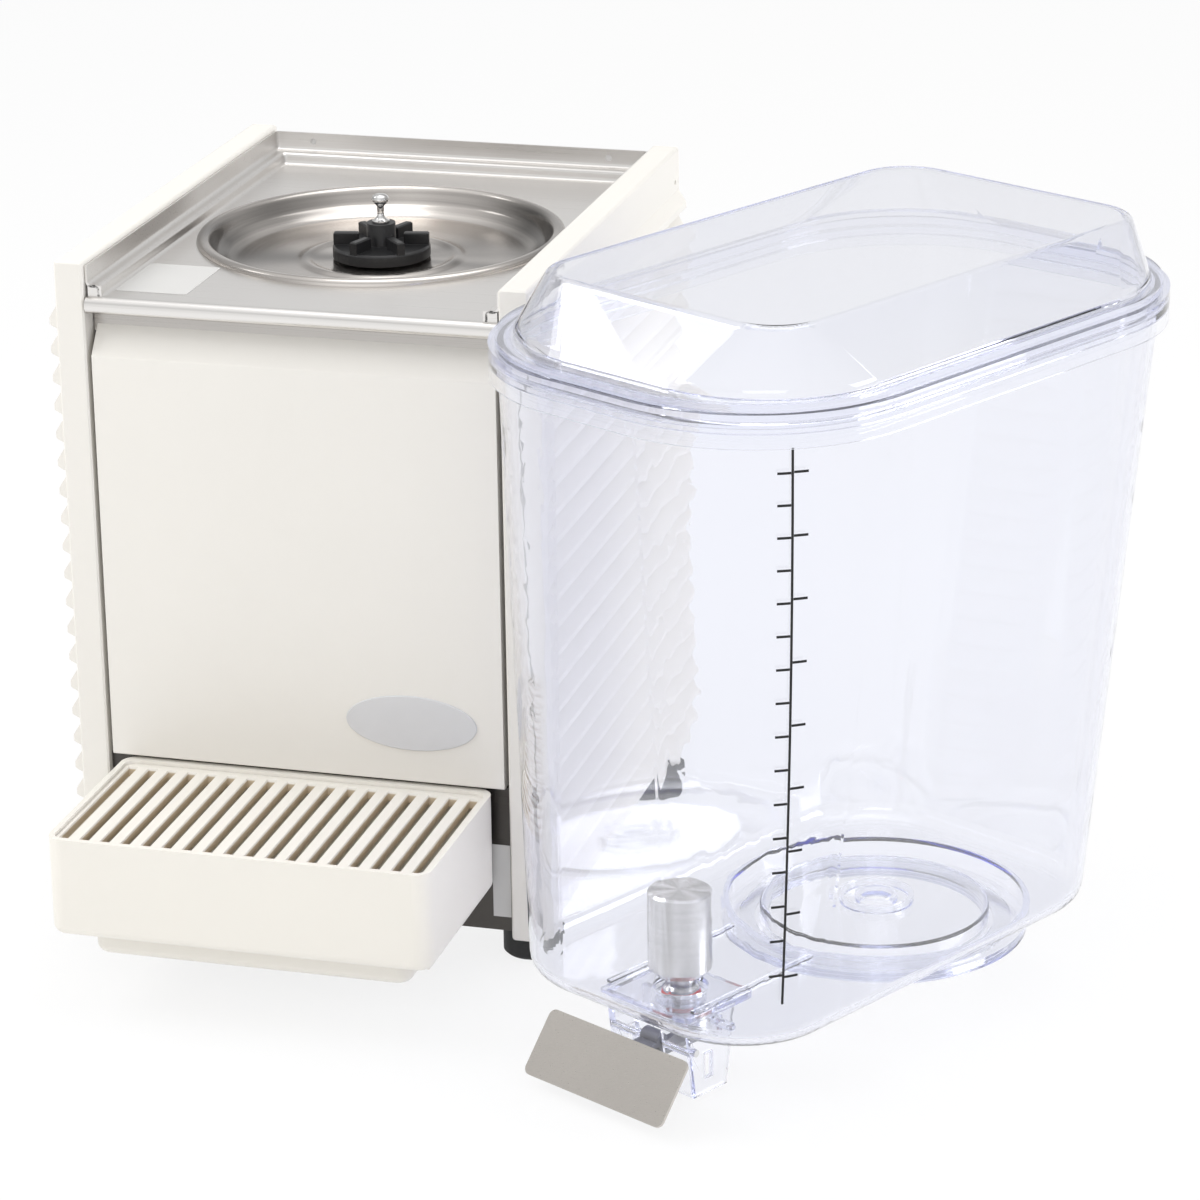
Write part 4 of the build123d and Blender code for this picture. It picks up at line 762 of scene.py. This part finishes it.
        # Painted shade: the apron faces get a darker copy of the deck steel, for the shade under the rolled
        # edge
        deck.data.materials.append(brushed("apron painted shade", s.apron, BRUSHED_ALONG_X))
        apron_top = s.deck_floor - 2 * s.roll - 0.2 * MM
        for face in deck.data.polygons:
            face.material_index = face.center.z < apron_top

    def front_roll(self, s, low, high, front):
        """The deck's rolled front edge and the apron that hangs from it."""
        inset = 0.5 * MM
        strip = 2 * MM
        near = Vector((low.x + inset, front, s.deck_floor))
        far = Vector((high.x - inset, front + strip, s.deck_floor))
        bpy.ops.object.select_all(action="DESELECT")
        bpy.ops.mesh.primitive_plane_add(size=1, location=(near + far) / 2)
        bpy.context.object.scale = (far.x - near.x, far.y - near.y, 1)
        edge = start("deck_edge")
        edit(edge, lambda bm: [e for e in bm.edges if max(v.co.y for v in e.verts) < front + HAIR])
        steps = 10
        angles = [i * math.pi / steps for i in range(steps + 1)]
        arc = [Vector((0, -math.sin(a), math.cos(a))) * s.roll for a in angles]
        for before, after in zip(arc, arc[1:]):
            bpy.ops.mesh.extrude_region_move(TRANSFORM_OT_translate={"value": after - before})
        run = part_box("front_panel")[1].y + s.apron_gap - front
        bpy.ops.mesh.extrude_region_move(TRANSFORM_OT_translate={"value": (0, run, 0)})
        drop = s.deck_floor - 2 * s.roll - low.z
        bpy.ops.mesh.extrude_region_move(TRANSFORM_OT_translate={"value": (0, 0, -drop)})
        bpy.ops.object.mode_set(mode="OBJECT")
        faces_up(edge)
        modify(edge, "SOLIDIFY", thickness=s.sheet, offset=-1.0)
        return edge


class DISPENSER_OT_drive(bpy.types.Operator):
    """Impeller, and the drive and cooling inside the cabinet"""

    bl_idname = "dispenser.drive"
    bl_label = "Drive"

    def execute(self, context):
        soften(IMPELLER_EDGE, "impeller")
        nylon = plain("black nylon", (0.012, 0.012, 0.013), roughness=0.38, grain=0.00006)
        dress(nylon, "impeller", "fan_blade", "start_relay", "cable_gland")
        dress(nylon, "switch_housing", "power_rocker", "thermostat_knob")
        polished = plain("polished steel", (0.75, 0.75, 0.75), roughness=0.08, metallic=1.0, variation=0.02)
        dress(polished, "rear_screws", "side_screws", "compressor_nuts", "handle_pivot_pin")
        rubber = plain("black rubber", (0.02, 0.02, 0.02), roughness=0.7, grain=0.0001)
        dress(rubber, "feet", "compressor_grommets")
        copper = plain("copper", (0.75, 0.36, 0.2), roughness=0.28, metallic=1.0)
        dress(copper, "condenser_tubes", "evaporator_coil", "suction_line", "discharge_line")
        dress(copper, "liquid_line", "capillary_tube", "filter_drier")
        dress(plain("black enamel", (0.012, 0.012, 0.012), roughness=0.2, coat=0.5), "compressor")
        paint = plain("motor paint", (0.09, 0.095, 0.10), roughness=0.4)
        dress(paint, "drive_motor", "fan_motor", "drive_magnet")
        aluminium = plain("aluminium", (0.78, 0.78, 0.79), roughness=0.35, metallic=1.0)
        dress(aluminium, "condenser_fins", "run_capacitor")
        foam = plain("foam", (0.08, 0.08, 0.08), roughness=0.9, grain=0.0004, scale=300)
        dress(foam, "insulation_ring")
        dress(plain("pale plastic", (0.6, 0.58, 0.52), roughness=0.4), "thermostat")
        return {"FINISHED"}


class DISPENSER_OT_bowl(bpy.types.Operator):
    """Clear bowl, its lid, cover and scale"""

    bl_idname = "dispenser.bowl"
    bl_label = "Bowl"

    def execute(self, context):
        s = context.scene.dispenser_bowl
        dress(clear("bowl plastic", s), "bowl_shell", "impeller_cover", "bowl_seal")
        dress(clear("lid plastic", s), "bowl_lid")
        dress(plain("printing ink", (0.004, 0.004, 0.005), roughness=0.5), "level_scale")
        unstick(2 * s.joint_gap, "handle_pivot_pin")
        unstick(s.joint_gap, "bowl_lid", "bowl_seal", "impeller_cover", "valve_body")
        return {"FINISHED"}


class DISPENSER_OT_valve(bpy.types.Operator):
    """Valve, plunger and push handle"""

    bl_idname = "dispenser.valve"
    bl_label = "Valve"

    def execute(self, context):
        s = context.scene.dispenser_bowl
        metal = context.scene.dispenser_metal
        dress(clear("valve plastic", s), "valve_body", "valve_lock_pin")
        dress(plain("seal rubber", s.rubber, roughness=0.35, grain=0.00005), "plunger_seal_rings")
        # The plunger's radial bands are painted highlights
        dress(spun("plunger steel", metal.plunger, WEIGHT), "plunger_weight", "plunger_stem")
        dress(plain("lever plastic", (0.25, 0.25, 0.26), roughness=0.4), "push_lever")
        plate = brushed("push plate steel", metal.plate, PLATE_BRUSHING, turn=(0, 0, -BOWL_TURN))
        dress(plate, "push_plate")
        return {"FINISHED"}


class DISPENSER_OT_studio(bpy.types.Operator):
    """Floor, backdrop light, softboxes and camera"""

    bl_idname = "dispenser.studio"
    bl_label = "Studio"

    def execute(self, context):
        s = context.scene.dispenser_studio
        context.scene.view_settings.view_transform = "Standard"
        context.scene.cycles.max_bounces = s.bounces
        context.scene.cycles.transmission_bounces = s.bounces
        context.scene.cycles.glossy_bounces = s.bounces // 2
        context.scene.cycles.transparent_max_bounces = s.bounces
        self.floor(s)
        self.world(context, s)
        self.lamps(s)
        self.camera(context, s)
        return {"FINISHED"}

    def floor(self, s):
        """A white floor, lit mostly by itself where it is seen, so that it matches the backdrop."""
        bpy.ops.object.select_all(action="DESELECT")
        bpy.ops.mesh.primitive_plane_add(size=s.floor_size, location=(0, 0, 0))
        floor = bpy.context.object
        floor.name = "studio_floor"
        f = Finish("studio floor")
        camera, glossy, through = f.rays("Is Camera Ray", "Is Glossy Ray", "Is Transmission Ray")
        seen = (camera + glossy + through).clipped()
        lit = f.node("BsdfDiffuse", {"Color": (0.9, 0.9, 0.9, 1.0)})
        glow = f.node("Emission", {"Color": (1.0, 1.0, 1.0, 1.0), "Strength": 1.0})
        f.surface(f.node("MixShader", {0: seen * s.floor_glow, 1: lit, 2: glow}))
        floor.data.materials.append(f.target)

    def world(self, context, s):
        """Even light, a white backdrop, and a room that only mirrors see, darker low at its sides."""
        world = context.scene.world or bpy.data.worlds.new("studio")
        context.scene.world = world
        world.use_nodes = True
        f = Finish("studio", world)
        camera, glossy, through = f.rays("Is Camera Ray", "Is Glossy Ray", "Is Transmission Ray")
        clean = camera + through
        where = f.node("TexCoord", output=0)
        x, y, z = f.parts(where)
        turn = x.maths("ARCTAN2", y)
        sides = (turn * 2.0 + math.pi).maths("COSINE") * 0.5 + 0.5
        low = ((z - 0.55) * -3.0).clipped()
        # How bright the room is, from the horizon to straight above
        levels = [(0.0, 1.0), (0.3, 1.05), (0.5, 0.6), (0.75, 0.9), (1.0, 1.2)]
        height = f.node("ValToRGB", {0: z}, stops=levels)
        room = (1.0 - sides * low * s.side_shade) * (s.room_light - y * s.front_light)
        mirrored = f.mix((0.0, 0.0, 0.0, 1.0), height, room)
        mirrored = f.mix(mirrored, solid((s.window_light,) * 3), self.window(f, where, s))
        studio = f.mix(solid((s.fill, s.fill, s.fill)), (1.0, 1.0, 1.0, 1.0), clean.clipped())
        light = f.mix(studio, mirrored, glossy)
        shader = f.node("Background", {"Color": light, "Strength": 1.0})
        out = f.tree.nodes.new("ShaderNodeOutputWorld")
        f.tree.links.new(shader.socket, out.inputs["Surface"])

    def window(self, f, where, s):
        """One inside a rectangle of the sky, which only mirrors see, and nought elsewhere."""
        middle = Vector(s.window).normalized()
        across = middle.cross(Vector((0, 0, 1))).normalized()
        upward = across.cross(middle)
        ahead, aside, above = (f.dot(where, axis) for axis in (middle, across, upward))
        wide = ((s.window_size - (aside / ahead).maths("ABSOLUTE")) * 60.0).clipped()
        high = ((s.window_size * 0.8 - (above / ahead).maths("ABSOLUTE")) * 60.0).clipped()
        return wide * high * (ahead * 60.0).clipped()

    def lamps(self, s):
        """Four softboxes, each with its name, place, width and height, and power."""
        target = Vector((0.05, -0.05, 0.2))
        plans = [
            ("softbox_left", (-1.25, -0.35, 1.35), (0.9, 0.7), s.softbox),
            ("softbox_front", (0.5, -2.2, 1.7), (1.4, 0.8), s.softbox * 0.8),
            ("softbox_top", (0.1, 0.3, 2.1), (1.6, 1.4), s.softbox * 0.85),
            ("softbox_right", (1.9, 0.1, 0.8), (1.0, 0.8), s.softbox * 1.3),
        ]
        for name, place, size, power in plans:
            data = bpy.data.lights.new(name, "AREA")
            data.shape = "RECTANGLE"
            data.size, data.size_y = size
            data.energy = power
            lamp = bpy.data.objects.new(name, data)
            bpy.context.scene.collection.objects.link(lamp)
            lamp.location = place
            lamp.rotation_euler = (target - Vector(place)).to_track_quat("-Z", "Y").to_euler()
            lamp.visible_glossy = name == "softbox_top"

    def camera(self, context, s):
        """The camera from which the photograph was taken."""
        data = bpy.data.cameras.new("camera")
        data.sensor_width = 36
        data.lens = s.focal_length
        data.clip_end = 50
        camera = bpy.data.objects.new("camera", data)
        context.scene.collection.objects.link(camera)
        turn = Matrix.Rotation(math.radians(s.azimuth), 4, "Z")
        tilt = Matrix.Rotation(math.radians(90 - s.pitch), 4, "X")
        roll = Matrix.Rotation(math.radians(-s.roll), 4, "Z")
        place = Vector((CABINET_X, FRONT_Y, 0)) + Vector(s.place)
        camera.matrix_world = Matrix.Translation(place) @ turn @ tilt @ roll
        context.scene.camera = camera


OPERATORS = (
    DISPENSER_OT_shell, DISPENSER_OT_tray, DISPENSER_OT_deck, DISPENSER_OT_drive, DISPENSER_OT_bowl,
    DISPENSER_OT_valve, DISPENSER_OT_studio,
)
SETTINGS = {
    "dispenser_cabinet": CabinetSettings, "dispenser_metal": MetalSettings, "dispenser_bowl": BowlSettings,
    "dispenser_studio": StudioSettings,
}


class DISPENSER_PT_panel(bpy.types.Panel):
    """The dispenser's settings and operators"""

    bl_label = "Drink dispenser"
    bl_idname = "DISPENSER_PT_panel"
    bl_space_type = "VIEW_3D"
    bl_region_type = "UI"
    bl_category = "Dispenser"

    def draw(self, context):
        for name, group in SETTINGS.items():
            box = self.layout.box()
            for field in group.__annotations__:
                box.prop(getattr(context.scene, name), field)
        for operator in OPERATORS:
            self.layout.operator(operator.bl_idname)


def register():
    for cls in (*SETTINGS.values(), *OPERATORS, DISPENSER_PT_panel):
        bpy.utils.register_class(cls)
    for name, group in SETTINGS.items():
        setattr(bpy.types.Scene, name, PointerProperty(type=group))


def unregister():
    for name in SETTINGS:
        delattr(bpy.types.Scene, name)
    for cls in reversed((*SETTINGS.values(), *OPERATORS, DISPENSER_PT_panel)):
        bpy.utils.unregister_class(cls)


def main():
    register()
    for operator in OPERATORS:
        group, name = operator.bl_idname.split(".")
        getattr(getattr(bpy.ops, group), name)()


if __name__ == "__main__":
    main()
